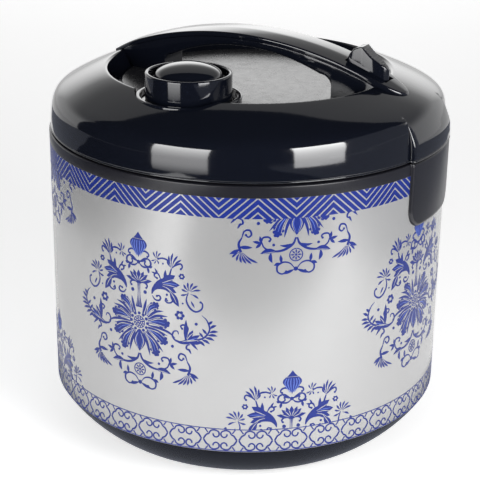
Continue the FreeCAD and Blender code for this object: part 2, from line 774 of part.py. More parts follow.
# Power inlet: socket in the rear of the bowl, shaped to stand a little proud of it, with two pins
# for a detachable lead
inlet_block = block("inlet_block", ("-inlet_half", "inlet_half"),
                    ("inlet_face - inlet_depth - 6", "inlet_face"), ("inlet_low", "inlet_high"))
inlet_sweep = turned("inlet_sweep", [
    ("base_hole_radius", "base_floor"),
    ("base_turn_radius + inlet_lip", "base_floor"),
    ("base_turn_radius + inlet_lip", "base_turn_height", "base_bow"),
    ("shell_radius + inlet_lip", "shell_bottom"),
    ("base_hole_radius", "shell_bottom"),
], "40", 90)
inlet_room = block("inlet_room", ("-inlet_half + inlet_wall", "inlet_half - inlet_wall"),
                   ("inlet_face - inlet_depth", "inlet_face + 1"),
                   ("inlet_low + inlet_wall", "inlet_high - inlet_wall"))
inlet_middle = "(inlet_low + inlet_high) / 2"
PIN_PLACES = ("-5.5", "5.5")
pin_holes = [rod(f"inlet_hole{number}", "2", (x, "100", inlet_middle), "20", "y")
             for number, x in enumerate(PIN_PLACES)]
inlet_blank = common("power_inlet", inlet_block, inlet_sweep)
deliver("power_inlet", cut("power_inlet", inlet_blank, inlet_room, *pin_holes))
pins = [rod(f"inlet_pin{number}", "2", (x, "inlet_face - inlet_depth - 9", inlet_middle), "17", "y")
        for number, x in enumerate(PIN_PLACES)]
deliver("inlet_pins", group("inlet_pins", pins))

# Lid cover: moulded dome with a sunken dish, a nose over the latch and holes for vent and trigger
DOME = [
    ("lid_radius", "lid_bottom"),
    ("wall_top_radius", "wall_top", "shoulder_bow"),
    ("shoulder_radius", "shoulder_height", "dome_bow"),
    ("dish_rim_radius", "dish_rim_height"),
    ("dish_rim_radius - dish_lip", "dish_rim_height"),
    ("dish_radius", "dish_floor"),
]
dome = turned("lid_cover", DOME + [
    ("0", "dish_floor"),
    ("0", "dish_floor - lid_wall"),
    ("dish_radius + 1.5", "dish_floor - lid_wall"),
    ("dish_rim_radius - 0.5", "dish_rim_height - lid_wall - 0.8"),
    ("shoulder_radius - 1", "shoulder_height - lid_wall - 0.3", "-(shoulder_bow - 1)"),
    ("wall_top_radius - lid_wall", "wall_top - 1"),
    ("lid_radius - lid_wall", "lid_bottom"),
])
nose = turned("lid_nose", [
    ("lid_radius - lid_wall", "lid_bottom"),
    ("tab_radius", "lid_bottom"),
    ("tab_radius", "lid_bottom + 9.5", "16"),
    ("shoulder_radius + 1", "shoulder_height - 0.2"),
    ("shoulder_radius + 1", "shoulder_height - 3"),
    ("wall_top_radius - 1.5", "wall_top"),
], TAB_ANGLE, -90)
nose_room = turned("nose_room", [
    ("120", "lid_bottom - 1"),
    ("pocket_outer", "lid_bottom - 1"),
    ("pocket_outer - 0.5", "lid_bottom + 8"),
    ("pocket_outer - 5", "lid_bottom + 18"),
    ("120", "lid_bottom + 18"),
], "2 * asin(nose_hollow_half / lid_radius)", -90)
vent_hole = rod("vent_hole", "cup_radius + 0.2", ("-vent_left", "vent_back", "dish_floor - 10"), "60")
stem_hole = block("stem_hole", ("-trigger_stem_half - 1", "trigger_stem_half + 1"),
                  ("-trigger_stem_front - 1", "1 - trigger_stem_rear"), ("240", "262"))
trigger_room = block("trigger_room", ("-trigger_half - trigger_gap", "trigger_half + trigger_gap"),
                     ("-trigger_front - trigger_gap", "2 - trigger_rear"), ("trigger_under - 4.5", "300"))
HANDLE_SCREWS = (("-7", "70"), ("7", "70"), ("-10.5", "-76"), ("10.5", "-76"))
cover_holes = [rod(f"cover_hole{number}", "screw_radius + running_gap", (x, y, "dish_floor - 5"), "7")
               for number, (x, y) in enumerate(HANDLE_SCREWS)]
deliver("lid_cover", cut("lid_cover", fuse("lid_cover", dome, nose), nose_room, vent_hole, stem_hole,
                         trigger_room, *cover_holes))

# Handle: arched strip from rear to front, a lower part with two feet and a cap over it
ARCH_CENTRE = "(handle_top - handle_arch)"


def on_arch(along, drop):
    """The height of the handle's arch at a place along it, some depth below its top."""
    return f"{ARCH_CENTRE} + sqrt((handle_arch - {drop}) ^ 2 - ({along}) ^ 2)"


def leaf(name, margin):
    """The plan of the handle with a margin at its sides, as a tall prism."""
    front = f"leaf_front_width + {margin}"
    rear = f"leaf_rear_width + {margin}"
    tip = f"leaf_tip_width + {margin}"
    prism = padded(name, "XY_Plane", [
        ("0", "-handle_front", "10.6"),
        (tip, "-leaf_tip_at", "90"),
        (front, "-leaf_front_at", "1200"),
        (rear, "leaf_rear_at", "76"),
        ("0", "handle_rear", "76"),
        (f"-({rear})", "leaf_rear_at", "1200"),
        (f"-({front})", "-leaf_front_at", "90"),
        (f"-({tip})", "-leaf_tip_at", "10.6"),
    ], "40")
    place(prism, "0", "0", "handle_top - 20")
    return prism


cap_side = padded("handle_cap_side", "YZ_Plane", [
    ("handle_rear", on_arch("handle_rear", "0"), "handle_arch"),
    ("-handle_front", on_arch("handle_front", "0")),
    ("-handle_front", on_arch("handle_front", "handle_skin"), "-(handle_arch - handle_skin)"),
    ("handle_rear", on_arch("handle_rear", "handle_skin")),
], "30")
GRIP_LOW = "(grip_top - grip_bow)"
grip_end = "grip_front - grip_corner + 1"
grip_end_height = f"{GRIP_LOW} + sqrt(grip_bow ^ 2 - ({grip_end} - grip_offset) ^ 2)"
grip_rear_height = f"{GRIP_LOW} + sqrt(grip_bow ^ 2 - (grip_rear + grip_offset) ^ 2)"
base_side = padded("handle_base_side", "YZ_Plane", [
    ("85", on_arch("85", "handle_skin"), "handle_arch - handle_skin"),
    ("-100", on_arch("100", "handle_skin")),
    ("-97", "dish_floor"),
    ("-grip_front", "dish_floor"),
    ("-grip_front", f"{grip_end_height} - grip_corner", "-(grip_corner + 1)"),
    (f"-({grip_end})", grip_end_height, "-grip_bow"),
    ("grip_rear", grip_rear_height),
    ("grip_rear", "dish_floor"),
    ("107", "dish_floor"),
], "30")
lid_fill = turned("lid_fill", DOME + [("0", "dish_floor"), ("0", "lid_bottom")])
handle_holes = [rod(f"handle_hole{number}", "screw_radius", (x, y, "dish_floor - 1"), "9")
                for number, (x, y) in enumerate(HANDLE_SCREWS)]
deliver("handle_cap", cut("handle_cap", common("handle_cap", cap_side, leaf("cap_leaf", "0")), lid_fill,
                          trigger_room))
deliver("handle_base", cut("handle_base", common("handle_base", base_side, leaf("base_leaf", "0")), lid_fill,
                           trigger_room, stem_hole, *handle_holes))
handle_screws = [screw(f"handle_screw{number}", x, y, "dish_floor - lid_wall", "lid_wall + 8")
                 for number, (x, y) in enumerate(HANDLE_SCREWS)]
deliver("handle_screws", group("handle_screws", handle_screws))

# Dish plate: thin inset that lines the dish round the vent and the feet of the handle
plate = turned("dish_plate", [
    ("0", "dish_floor"),
    ("dish_plate_radius", "dish_floor"),
    ("dish_plate_radius", "dish_floor + dish_plate_thickness"),
    ("0", "dish_floor + dish_plate_thickness"),
])
foot_spans = (("-100", "0.3 - grip_front"), ("grip_rear - 0.3", "100"))
foot_gaps = [common(f"foot_gap{number}", leaf(f"foot_leaf{number}", "0.3"),
                    block(f"foot_span{number}", ("-20", "20"), span, ("240", "255")))
             for number, span in enumerate(foot_spans)]
plate_vent_hole = rod("plate_vent_hole", "cup_radius + 0.2", ("-vent_left", "vent_back", "240"), "20")
deliver("dish_plate", cut("dish_plate", plate, *foot_gaps, plate_vent_hole))

# Release trigger: wedge with a round back, a ribbed pad in its thumb scoop and a stem down to the latch
wedge_side = padded("trigger_side", "YZ_Plane", [
    ("-trigger_rear", "trigger_under"),
    ("-trigger_rear", "trigger_peak - trigger_back", "trigger_back"),
    ("-trigger_rear - trigger_back", "trigger_peak", "-trigger_scoop"),
    ("-trigger_lip_at", "trigger_lip"),
    ("-trigger_front", "trigger_lip - 2"),
    ("-trigger_front", "trigger_under"),
], "trigger_half")
wedge_plan = padded("trigger_plan", "XY_Plane", [
    ("trigger_half", "5.2 - trigger_front"),
    ("trigger_half", "-trigger_rear"),
    ("-trigger_half", "-trigger_rear"),
    ("-trigger_half", "5.2 - trigger_front", "trigger_half + 0.05"),
], "trigger_peak + 5")
wedge = common("trigger_wedge", wedge_side, wedge_plan)
stem = block("trigger_stem", ("-trigger_stem_half", "trigger_stem_half"),
             ("-trigger_stem_front", "-trigger_stem_rear"), ("trigger_stem_low", "trigger_under + 1"))
deliver("release_button", fuse("release_button", wedge, stem))


def on_scoop(degrees, lift):
    """A place on the trigger's scoop, by its angle below level and its lift off the face."""
    angle = math.radians(degrees)
    along = f"{math.cos(angle):.6f} * (trigger_scoop - {lift}) - scoop_front"
    up = f"scoop_height - {math.sin(angle):.6f} * (trigger_scoop - {lift})"
    return along, up


pad_sheet = padded("pad_sheet", "YZ_Plane", [
    (*on_scoop(69, "0"), "trigger_scoop"),
    on_scoop(34, "0"),
    (*on_scoop(34, "trigger_pad"), "trigger_pad - trigger_scoop"),
    on_scoop(69, "trigger_pad"),
], "trigger_half - 0.5")
PAD_RIBS = 7
pad_ribs = [rod(f"pad_rib{number}", "pad_rib", ("0.5 - trigger_half", *on_scoop(36 + 31 * number / (PAD_RIBS - 1),
                "trigger_pad")), "2 * trigger_half - 1", "x") for number in range(PAD_RIBS)]
deliver("trigger_pad", cut("trigger_pad", fuse("trigger_pad", pad_sheet, *pad_ribs), wedge))

# Latch hook: lever on a pin in the nose, pressed by the trigger's stem, with a tooth under the keeper
hook_plate = padded("latch_hook", "YZ_Plane", [
    ("-hook_leg", "latch_height"),
    ("-hook_leg", "hook_foot"),
    ("-hook_tip", "hook_foot"),
    ("-hook_tip", "keeper_low - 0.8"),
    ("-latch_front - 0.5", "keeper_low - 0.8"),
    ("-latch_front - 0.5", "latch_height - 2"),
    ("-hook_arm_end", "hook_arm_top - 2.5"),
    ("-hook_arm_end", "hook_arm_top"),
    ("-latch_front", "hook_arm_top - 0.5"),
], "hook_half_width")
hook_start = ("-hook_half_width", "-latch_front", "latch_height")
hook_boss = rod("hook_boss", "latch_pin_radius + 1.7", hook_start, "2 * hook_half_width", "x")
hook_bore = rod("hook_bore", "latch_pin_radius + running_gap",
                ("-hook_half_width - 1", "-latch_front", "latch_height"), "2 * hook_half_width + 2", "x")
deliver("latch_hook", cut("latch_hook", fuse("latch_hook", hook_plate, hook_boss), hook_bore))
deliver("latch_pin", rod("latch_pin", "latch_pin_radius", ("-latch_pin_half", "-latch_front", "latch_height"),
                         "2 * latch_pin_half", "x"))
deliver("latch_spring", coil("latch_spring", (0, -100, 0), 4.0, 0.4,
                             amount("lining_low + lining_thickness"), amount("hook_arm_top - 3.8"), 2))

# Lid liner: tray that closes the lid from below, with two bosses for the latch pin
tray = turned("lid_liner", [
    ("0", "lining_low"),
    ("124", "lining_low"),
    ("124", "lid_bottom + 0.5"),
    ("lining_radius", "lid_bottom + 0.5"),
    ("lining_radius", "lid_bottom + 2.5"),
    ("126", "lid_bottom + 2.5"),
    ("126", "lining_low + lining_thickness"),
    ("0", "lining_low + lining_thickness"),
])
boss_up = ("lid_bottom + 0.5", "latch_height + 2.5")
bosses = [block(f"latch_boss{number}", span, ("-latch_front - 2.6", "3.5 - latch_front"), boss_up)
          for number, span in enumerate((("-15.5", "-11.5"), ("11.5", "15.5")))]
hook_slot = block("hook_slot", ("-hook_half_width - 0.7", "hook_half_width + 0.7"), ("-150", "-126.5"),
                  ("lid_bottom - 1", "lining_low + lining_thickness + 1"))
hinge_slot = block("hinge_slot", ("-hinge_half_width - 0.3", "hinge_half_width + 0.3"), ("126.3", "150"),
                   ("lid_bottom - 1", "lining_low + lining_thickness + 1"))
boss_bore = rod("boss_bore", "latch_pin_radius", ("-20", "-latch_front", "latch_height"), "40", "x")
steam_hole = rod("steam_hole", "steam_radius + 2.2", ("-vent_left", "vent_back", "lining_low - 1"), "5")
deliver("lid_liner", cut("lid_liner", fuse("lid_liner", tray, *bosses), hook_slot, hinge_slot, boss_bore,
                         steam_hole))

# Lid hinge bracket: web screwed inside the lid, with a barrel on the hinge pin
web_half = ("-hinge_half_width", "hinge_half_width")
web_high = block("web_high", web_half, ("126.5", "130.2"), ("hinge_height + 4", "lid_bottom + 9.5"))
web_low = block("web_low", web_half, ("126.5", "hinge_back"), ("hinge_height - 3", "hinge_height + 5"))
barrel = rod("hinge_barrel", "hinge_barrel_radius", ("-hinge_half_width", "hinge_back", "hinge_height"),
             "2 * hinge_half_width", "x")
barrel_bore = rod("barrel_bore", "hinge_pin_radius + running_gap",
                  ("-hinge_half_width - 1", "hinge_back", "hinge_height"), "2 * hinge_half_width + 2", "x")
deliver("lid_hinge_bracket", cut("lid_hinge_bracket", fuse("lid_hinge_bracket", web_high, web_low, barrel),
                                 barrel_bore))

# Inner lid plate: pressed disc with steam holes, hung on a central knob and edged by the gasket
inner_plate = rod("inner_plate_disc", "inner_plate_radius", ("0", "0", "inner_plate_low"),
                  "inner_plate_thickness")
knob_hole = rod("knob_hole", "5.1", ("0", "0", "inner_plate_low - 1"), "4")
steam_holes = [rod(f"steam_hole{number}", "2.5", (f"{x} - vent_left", f"{y} + vent_back", "inner_plate_low - 1"),
                   "4")
               for number, (x, y) in enumerate(polar(8, "16"))]
deliver("inner_lid_plate", cut("inner_lid_plate", inner_plate, knob_hole, *steam_holes))
knob_head = rod("plate_knob_head", "10", ("0", "0", "inner_plate_low - 2.5"), "2.5")
knob_neck = rod("plate_knob_neck", "5", ("0", "0", "inner_plate_low - 1"), "lining_low - inner_plate_low + 1")
deliver("plate_knob", fuse("plate_knob", knob_head, knob_neck))
deliver("lid_gasket", turned("lid_gasket", [
    ("inner_plate_radius + skin_gap", "gasket_low + 0.6"),
    ("inner_plate_radius + 3", "gasket_low"),
    ("gasket_radius - 2", "gasket_low"),
    ("gasket_radius", "gasket_low + 1.2"),
    ("gasket_radius", "gasket_high"),
    ("inner_plate_radius + skin_gap", "gasket_high"),
]))


# Steam vent: fixed cup with a tube through the lid, a seal, and a cap of ring and dome that lifts out
def vent_turned(name, outline):
    body = turned(name, outline)
    place(body, "-vent_left", "vent_back", "0")
    return body


deliver("vent_cup", vent_turned("vent_cup", [
    ("steam_radius", "lining_low"),
    ("steam_radius + 2", "lining_low"),
    ("steam_radius + 2", "cup_floor - 2"),
    ("cup_radius - 2", "cup_floor - 2"),
    ("cup_radius - 2", "cup_floor - 10"),
    ("cup_radius", "cup_floor - 10"),
    ("cup_radius", "cup_rim"),
    ("cup_bore", "cup_rim"),
    ("cup_bore", "cup_floor"),
    ("steam_radius", "cup_floor"),
]))
deliver("vent_seal", vent_turned("vent_seal", [
    ("steam_radius", "inner_plate_low + inner_plate_thickness"),
    ("steam_radius + 5", "inner_plate_low + inner_plate_thickness"),
    ("steam_radius + 5", "lining_low"),
    ("steam_radius", "lining_low"),
]))
deliver("vent_ring", vent_turned("vent_ring", [
    ("ring_radius - ring_wall", "cup_floor + 0.3"),
    ("ring_radius", "cup_floor + 0.3"),
    ("ring_radius", "ring_top - 1"),
    ("ring_radius - 1", "ring_top"),
    ("ring_radius - ring_wall", "ring_top"),
    ("ring_radius - ring_wall", "ring_ledge"),
    ("dome_radius - 2", "ring_ledge"),
    ("dome_radius - 2", "ring_ledge - 2.5"),
    ("ring_radius - ring_wall", "ring_ledge - 2.5"),
]))
deliver("vent_dome", vent_turned("vent_dome", [
    ("0", "ring_ledge"),
    ("dome_radius", "ring_ledge"),
    ("dome_radius", "ring_ledge + dome_edge",
     "(dome_radius ^ 2 + (dome_rise - dome_edge) ^ 2) / (2 * (dome_rise - dome_edge))"),
    ("0", "ring_ledge + dome_rise"),
]))

doc.recompute()

# Check every object, then write one file for each sub-part
faults = [item.Name for item in doc.Objects if "Invalid" in item.State or "Error" in item.State]
for part in nodes:
    if part.Shape.isNull() or not part.Shape.isValid() or part.Shape.Volume <= 0:
        faults.append(part.Label)
if faults:
    raise RuntimeError("failed objects: " + ", ".join(faults))
os.makedirs("parts", exist_ok=True)
for part in nodes:
    part.Shape.exportStep(f"parts/{part.Label}.step")
    print(part.Label, len(part.Shape.Solids), "solids", round(part.Shape.Volume / 1000, 2), "cm3")
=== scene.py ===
import math

import bmesh
import bpy
from mathutils import Matrix, Vector


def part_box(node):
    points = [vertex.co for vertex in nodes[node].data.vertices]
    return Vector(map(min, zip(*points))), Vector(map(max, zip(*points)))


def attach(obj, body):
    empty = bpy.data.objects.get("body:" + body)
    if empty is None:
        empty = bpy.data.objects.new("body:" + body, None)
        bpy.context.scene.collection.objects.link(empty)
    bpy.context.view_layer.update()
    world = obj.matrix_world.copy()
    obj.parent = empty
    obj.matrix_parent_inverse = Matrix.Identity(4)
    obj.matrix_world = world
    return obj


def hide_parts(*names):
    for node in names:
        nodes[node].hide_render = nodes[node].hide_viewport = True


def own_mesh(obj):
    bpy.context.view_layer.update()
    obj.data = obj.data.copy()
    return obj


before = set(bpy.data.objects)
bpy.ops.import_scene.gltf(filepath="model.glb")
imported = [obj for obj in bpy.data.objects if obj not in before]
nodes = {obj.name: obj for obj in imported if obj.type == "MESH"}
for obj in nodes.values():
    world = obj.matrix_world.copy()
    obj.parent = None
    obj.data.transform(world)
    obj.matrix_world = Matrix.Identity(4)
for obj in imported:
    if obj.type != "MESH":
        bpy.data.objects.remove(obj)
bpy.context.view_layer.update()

# Rubber feet: four moulded black discs pressed under the floor ring of the base.
# The cooker stands on nothing else, so they keep a matt, slightly grained skin.

COAT_ROUGHNESS = 0.03
DRIFT_SIZE = 0.06
GLOSS_SPREAD = 0.2


def finish(name, colour, roughness, metallic=0.0, mottle=0.08, grain=0.0012, dent=0.02, coat=0.0, index=1.5):
    """A procedural finish: slow colour drift, fine uneven gloss and a slight surface texture."""
    material = bpy.data.materials.new(name)
    material.use_nodes = True
    tree = material.node_tree
    shader = tree.nodes["Principled BSDF"]
    shader.inputs["Metallic"].default_value = metallic
    shader.inputs["Coat Weight"].default_value = coat
    shader.inputs["Coat Roughness"].default_value = COAT_ROUGHNESS
    shader.inputs["IOR"].default_value = index
    place = tree.nodes.new("ShaderNodeTexCoord")

    def noise(size, detail):
        node = tree.nodes.new("ShaderNodeTexNoise")
        node.inputs["Scale"].default_value = 1 / size
        node.inputs["Detail"].default_value = detail
        tree.links.new(place.outputs["Object"], node.inputs["Vector"])
        return node.outputs["Fac"]

    drift = noise(DRIFT_SIZE, 2)
    fine = noise(grain, 4)
    ramp = tree.nodes.new("ShaderNodeValToRGB")
    for stop, share in zip(ramp.color_ramp.elements, (1 - mottle, 1 + mottle)):
        stop.color = tuple(min(1, tint * share) for tint in colour) + (1,)
    tree.links.new(drift, ramp.inputs["Fac"])
    tree.links.new(ramp.outputs["Color"], shader.inputs["Base Color"])
    gloss = tree.nodes.new("ShaderNodeMapRange")
    gloss.inputs["To Min"].default_value = roughness * (1 - GLOSS_SPREAD)
    gloss.inputs["To Max"].default_value = roughness * (1 + GLOSS_SPREAD)
    tree.links.new(fine, gloss.inputs["Value"])
    tree.links.new(gloss.outputs["Result"], shader.inputs["Roughness"])
    bump = tree.nodes.new("ShaderNodeBump")
    bump.inputs["Strength"].default_value = dent
    bump.inputs["Distance"].default_value = grain
    tree.links.new(fine, bump.inputs["Height"])
    tree.links.new(bump.outputs["Normal"], shader.inputs["Normal"])
    return material


def dress(material, *names):
    """Give CAD nodes a finish."""
    for name in names:
        mesh = nodes[name].data
        mesh.materials.clear()
        mesh.materials.append(material)


foot_rubber = finish("foot_rubber", (0.025, 0.025, 0.026), 0.75, dent=0.25)
dress(foot_rubber, "rubber_feet")

# Base: a moulded bowl of glossy black plastic that carries the whole cooker.
# A pressed steel cover closes it from below, held by four screws.

MM = 0.001
WELD = 1e-7
SHARP_ANGLE = math.radians(38)
EDGE_SHARE = 0.49


def sizes(node):
    """A node's lowest and highest corners in millimetres."""
    return [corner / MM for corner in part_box(node)]


def rounded(outline, steps=6):
    """A closed outline of (across, up, corner radius) points with its corners turned into arcs."""
    line = []
    for number, (across, up, radius) in enumerate(outline):
        here = Vector((across, up))
        before = Vector(outline[number - 1][:2]) - here
        after = Vector(outline[(number + 1) % len(outline)][:2]) - here
        if not radius:
            line.append(here)
            continue
        half = before.angle(after) / 2
        reach = min(radius / math.tan(half), EDGE_SHARE * before.length, EDGE_SHARE * after.length)
        start = here + before.normalized() * reach
        end = here + after.normalized() * reach
        middle = (before.normalized() + after.normalized()).normalized()
        centre = here + middle * reach / math.cos(half)
        first = math.atan2(start.y - centre.y, start.x - centre.x)
        turn = math.atan2(end.y - centre.y, end.x - centre.x) - first
        turn = (turn + math.pi) % math.tau - math.pi
        bend = (start - centre).length
        for step in range(steps + 1):
            angle = first + turn * step / steps
            line.append(centre + bend * Vector((math.cos(angle), math.sin(angle))))
    return line


def build(name, points, faces, material, body, slot, *stands_for):
    """A piece from points in millimetres, smooth but for its sharp edges, riding on a body."""
    mesh = bpy.data.meshes.new(name)
    mesh.from_pydata([Vector(point) * MM for point in points], [], faces)
    shape = bmesh.new()
    shape.from_mesh(mesh)
    bmesh.ops.remove_doubles(shape, verts=shape.verts, dist=WELD)
    bmesh.ops.recalc_face_normals(shape, faces=shape.faces)
    shape.to_mesh(mesh)
    shape.free()
    piece = bpy.data.objects.new(name, mesh)
    bpy.context.scene.collection.objects.link(piece)
    smooth(piece)
    mesh.materials.append(material)
    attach(piece, body)
    if stands_for:
        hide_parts(*stands_for)
    return piece


def smooth(piece):
    """Shade a piece smooth, apart from its sharp edges."""
    piece.data.shade_smooth()
    piece.data.set_sharp_from_angle(angle=SHARP_ANGLE)


def lathe(outline, centre=(0, 0), columns=240):
    """Points and faces of a closed outline turned about an upright axis."""
    points = []
    faces = []
    count = len(outline)
    for column in range(columns):
        angle = math.tau * column / columns
        for across, up in outline:
            points.append((centre[0] + across * math.cos(angle),
                           centre[1] + across * math.sin(angle), up))
    for column in range(columns):
        here = column * count
        there = (column + 1) % columns * count
        for row in range(count):
            after = (row + 1) % count
            faces.append((here + row, there + row, there + after, here + after))
    return points, faces


black_gloss = finish("black_gloss", (0.004, 0.005, 0.009), 0.07, mottle=0.15, grain=0.004, dent=0.003,
                     index=1.7)
plain_steel = finish("plain_steel", (0.62, 0.62, 0.63), 0.32, metallic=1.0)
dress(plain_steel, "bottom_cover", "base_screws")
base_black = finish("base_black", (0.005, 0.006, 0.010), 0.12, mottle=0.15, grain=0.004, dent=0.004,
                    index=1.42)
dress(base_black, "base_housing")

# Power inlet: a satin black socket set in the rear of the bowl, with two plated pins.
# It is a moulded insert that stands a little proud of the bowl.

black_satin = finish("black_satin", (0.018, 0.018, 0.020), 0.38, grain=0.0005, dent=0.12)
plated_brass = finish("plated_brass", (0.80, 0.68, 0.42), 0.22, metallic=1.0)
dress(black_satin, "power_inlet")
dress(plated_brass, "inlet_pins", "heater_terminals")

# Works inside: liner, heater, thermostat, lever and switch.
# Pressed bright sheet, cast aluminium, sintered ferrite and plain steel, out of sight when closed.

bright_sheet = finish("bright_sheet", (0.78, 0.78, 0.79), 0.25, metallic=1.0)
cast_plate = finish("cast_plate", (0.66, 0.66, 0.67), 0.42, metallic=1.0, grain=0.0008, dent=0.2)
ferrite = finish("ferrite", (0.10, 0.10, 0.10), 0.6, metallic=0.4)
heater_sleeve = finish("heater_sleeve", (0.72, 0.68, 0.58), 0.85, grain=0.0006, dent=0.4)
dress(bright_sheet, "inner_liner", "thermostat_cap", "inner_lid_plate")
dress(cast_plate, "heating_plate")
dress(ferrite, "thermostat_ferrite", "lower_magnet")
dress(heater_sleeve, "keep_warm_band", "thermal_fuse")
dress(plain_steel, "support_posts", "heater_spacers", "thermostat_bracket", "magnet_rod", "cook_lever",
      "lever_bracket", "latch_keeper", "hinge_pin", "latch_pin", "handle_screws")
dress(black_satin, "microswitch", "switch_plunger")

# Inner pot: drawn aluminium with a dark non-stick coat and a turned-out rim.
# It lifts out by its rim and stands on the heating plate.

pot_coat = finish("pot_coat", (0.30, 0.30, 0.31), 0.35, metallic=0.8, grain=0.0008, dent=0.1)
dress(pot_coat, "inner_pot")

# Outer shell: steel sheet rolled into a drum and faced with a pearly silver film.
# The rim ring grips its top edge and the base its lower edge.

silver_film = finish("silver_film", (0.45, 0.45, 0.45), 0.24, metallic=0.42, mottle=0.02, grain=0.0009,
                     dent=0.006)
dress(silver_film, "outer_shell")
SHELL_RADIUS = sizes("outer_shell")[1].x
SHELL_TOP = sizes("outer_shell")[1].z

# Print on the shell: blue ink screened on the film before the sheet is rolled.
# Lotus sprays fill the drum, whole ones in a row and others cut by the borders above and below.

INK_LOW = SHELL_RADIUS - 0.05
INK_HIGH = SHELL_RADIUS + 0.06
INK_STEP = 0.0012
INK_ORDER = 40
LANE = 3
STROKE_TIP = 0.05
LEAF_WIDTHS = (0.2, 0.62, 0.95, 1.0, 0.85, 0.5)
FROND_WIDTHS = (0.15, 0.3, 0.65, 1.0, 0.95)
PETAL_WIDTHS = (0.3, 0.55, 0.8, 1.0, 0.95, 0.5)
TENDRIL_WIDTHS = (0.25, 0.5, 0.62, 0.55, 0.45)
TENDRIL_BUD = 0.75
DOT_STEPS = 12
ink_blue = finish("ink_blue", (0.008, 0.022, 0.19), 0.30, index=1.42, mottle=0.10, grain=0.0006, dent=0.02)
ink_pale = finish("ink_pale", (0.09, 0.14, 0.46), 0.42, index=1.35, mottle=0.08, grain=0.0006, dent=0.02)


def curve(places, gap=0.7):
    """Points along a smooth line through a few places."""
    places = [Vector(place) for place in places]
    ends = [2 * places[0] - places[1]] + places + [2 * places[-1] - places[-2]]
    line = []
    for before, start, end, after in zip(ends, ends[1:], ends[2:], ends[3:]):
        steps = max(2, round((end - start).length / gap))
        for step in range(steps):
            share = step / steps
            line.append(start + 0.5 * ((end - before) * share
                                       + (2 * before - 5 * start + 4 * end - after) * share ** 2
                                       + (3 * start - before - 3 * end + after) * share ** 3))
    return line + [places[-1]]


def brush(places, *halves):
    """A brush stroke through some places, with its half widths at even steps along it."""
    line = curve(places)
    edges = [], []
    for number, spot in enumerate(line):
        ahead = line[min(number + 1, len(line) - 1)] - line[max(number - 1, 0)]
        across = Vector((-ahead.y, ahead.x)).normalized()
        share = number / (len(line) - 1) * (len(halves) - 1)
        index = min(int(share), len(halves) - 2)
        half = max(STROKE_TIP, halves[index] + (halves[index + 1] - halves[index]) * (share - index))
        edges[0].append(spot + across * half)
        edges[1].append(spot - across * half)
    return edges


def leaf(root, tip, half, bow=0.0):
    """A pointed leaf from its root to its tip, bowed to its left by a share of its length."""
    root = Vector(root)
    tip = Vector(tip)
    along = tip - root
    middle = (root + tip) / 2 + Vector((-along.y, along.x)) * bow
    return brush((root, middle, tip), *[share * half for share in LEAF_WIDTHS], STROKE_TIP)


def dot(centre, radius):
    """A round spot."""
    edges = [], []
    for step in range(DOT_STEPS + 1):
        angle = math.pi * step / DOT_STEPS
        for edge, way in zip(edges, (1, -1)):
            rim_spot = Vector((-math.cos(angle), way * max(0.02, math.sin(angle))))
            edge.append(Vector(centre) + radius * rim_spot)
    return edges


def flipped(edge):
    """An edge of a mark mirrored across the upright axis."""
    return [Vector((-spot.x, spot.y)) for spot in edge]


def mirrored(marks, flip=flipped):
    """Marks and their mirror images, across the upright axis unless another way is given."""
    return marks + [(flip(right), flip(left)) for left, right in marks]


def curls(*lines):
    """Thin tendrils that swell in the middle and end in a small bud."""
    strokes = [brush(line, *TENDRIL_WIDTHS) for line in lines]
    return strokes + [dot(line[-1], TENDRIL_BUD) for line in lines]


def leaves(half, *pairs):
    """Leaves of one width, each from its root to its tip."""
    return [leaf(root, tip, half) for root, tip in pairs]


def fan(root, half, *tips):
    """Narrow leaves that spread from one root, each standing clear of it and widest near its tip."""
    root = Vector(root)
    marks = []
    for tip in map(Vector, tips):
        along = tip - root
        bow = Vector((-along.y, along.x)) * 0.06
        places = (root + along * 0.14, root + along * 0.57 + bow, tip)
        marks.append(brush(places, *[share * half for share in FROND_WIDTHS], STROKE_TIP))
    return marks


def blossom(centre, radius):
    """Six round petals in a ring."""
    return [dot(Vector(centre) + 0.66 * radius * Vector((math.cos(turn), math.sin(turn))), 0.34 * radius)
            for turn in (math.tau * step / 6 for step in range(6))]


def ring_of(centre, count, radius):
    """Places evenly spaced round a centre, from the top on."""
    return [centre + radius * Vector((math.sin(math.tau * step / count), math.cos(math.tau * step / count)))
            for step in range(count)]


def finial():
    """The closed bud on top, on two arms above a knot of loops."""
    marks = [brush(((0, 53), (0, 50.8), (0, 48.6)), 0.05, 1.6, 3.6)]
    marks += [brush(((0, 48.3), (0, 42), (0, 36.2)), 4.3, 5.9, 6.4, 5.6, 4.0, 2.2, 0.6, 0.05)]
    marks += [dot((0, 33), 1.3)]
    sides = curls(((0.6, 38.2), (2.6, 40.3), (5, 40.9), (7.2, 39.8), (7.6, 38.2), (6.6, 37.6)),
                  ((2.2, 34.6), (5.2, 36.4), (8.4, 35.2), (9, 32.4), (6.9, 30.9), (4.6, 32), (4.9, 34)),
                  ((0.5, 32.4), (2.6, 30.5), (5.6, 30.2), (8.4, 31)))
    sides += leaves(0.9, ((0.6, 33.2), (6.2, 35.8)), ((7.6, 30.6), (10.2, 31.6)), ((6.8, 30.4), (7.6, 26.6)))
    return marks + mirrored(sides)


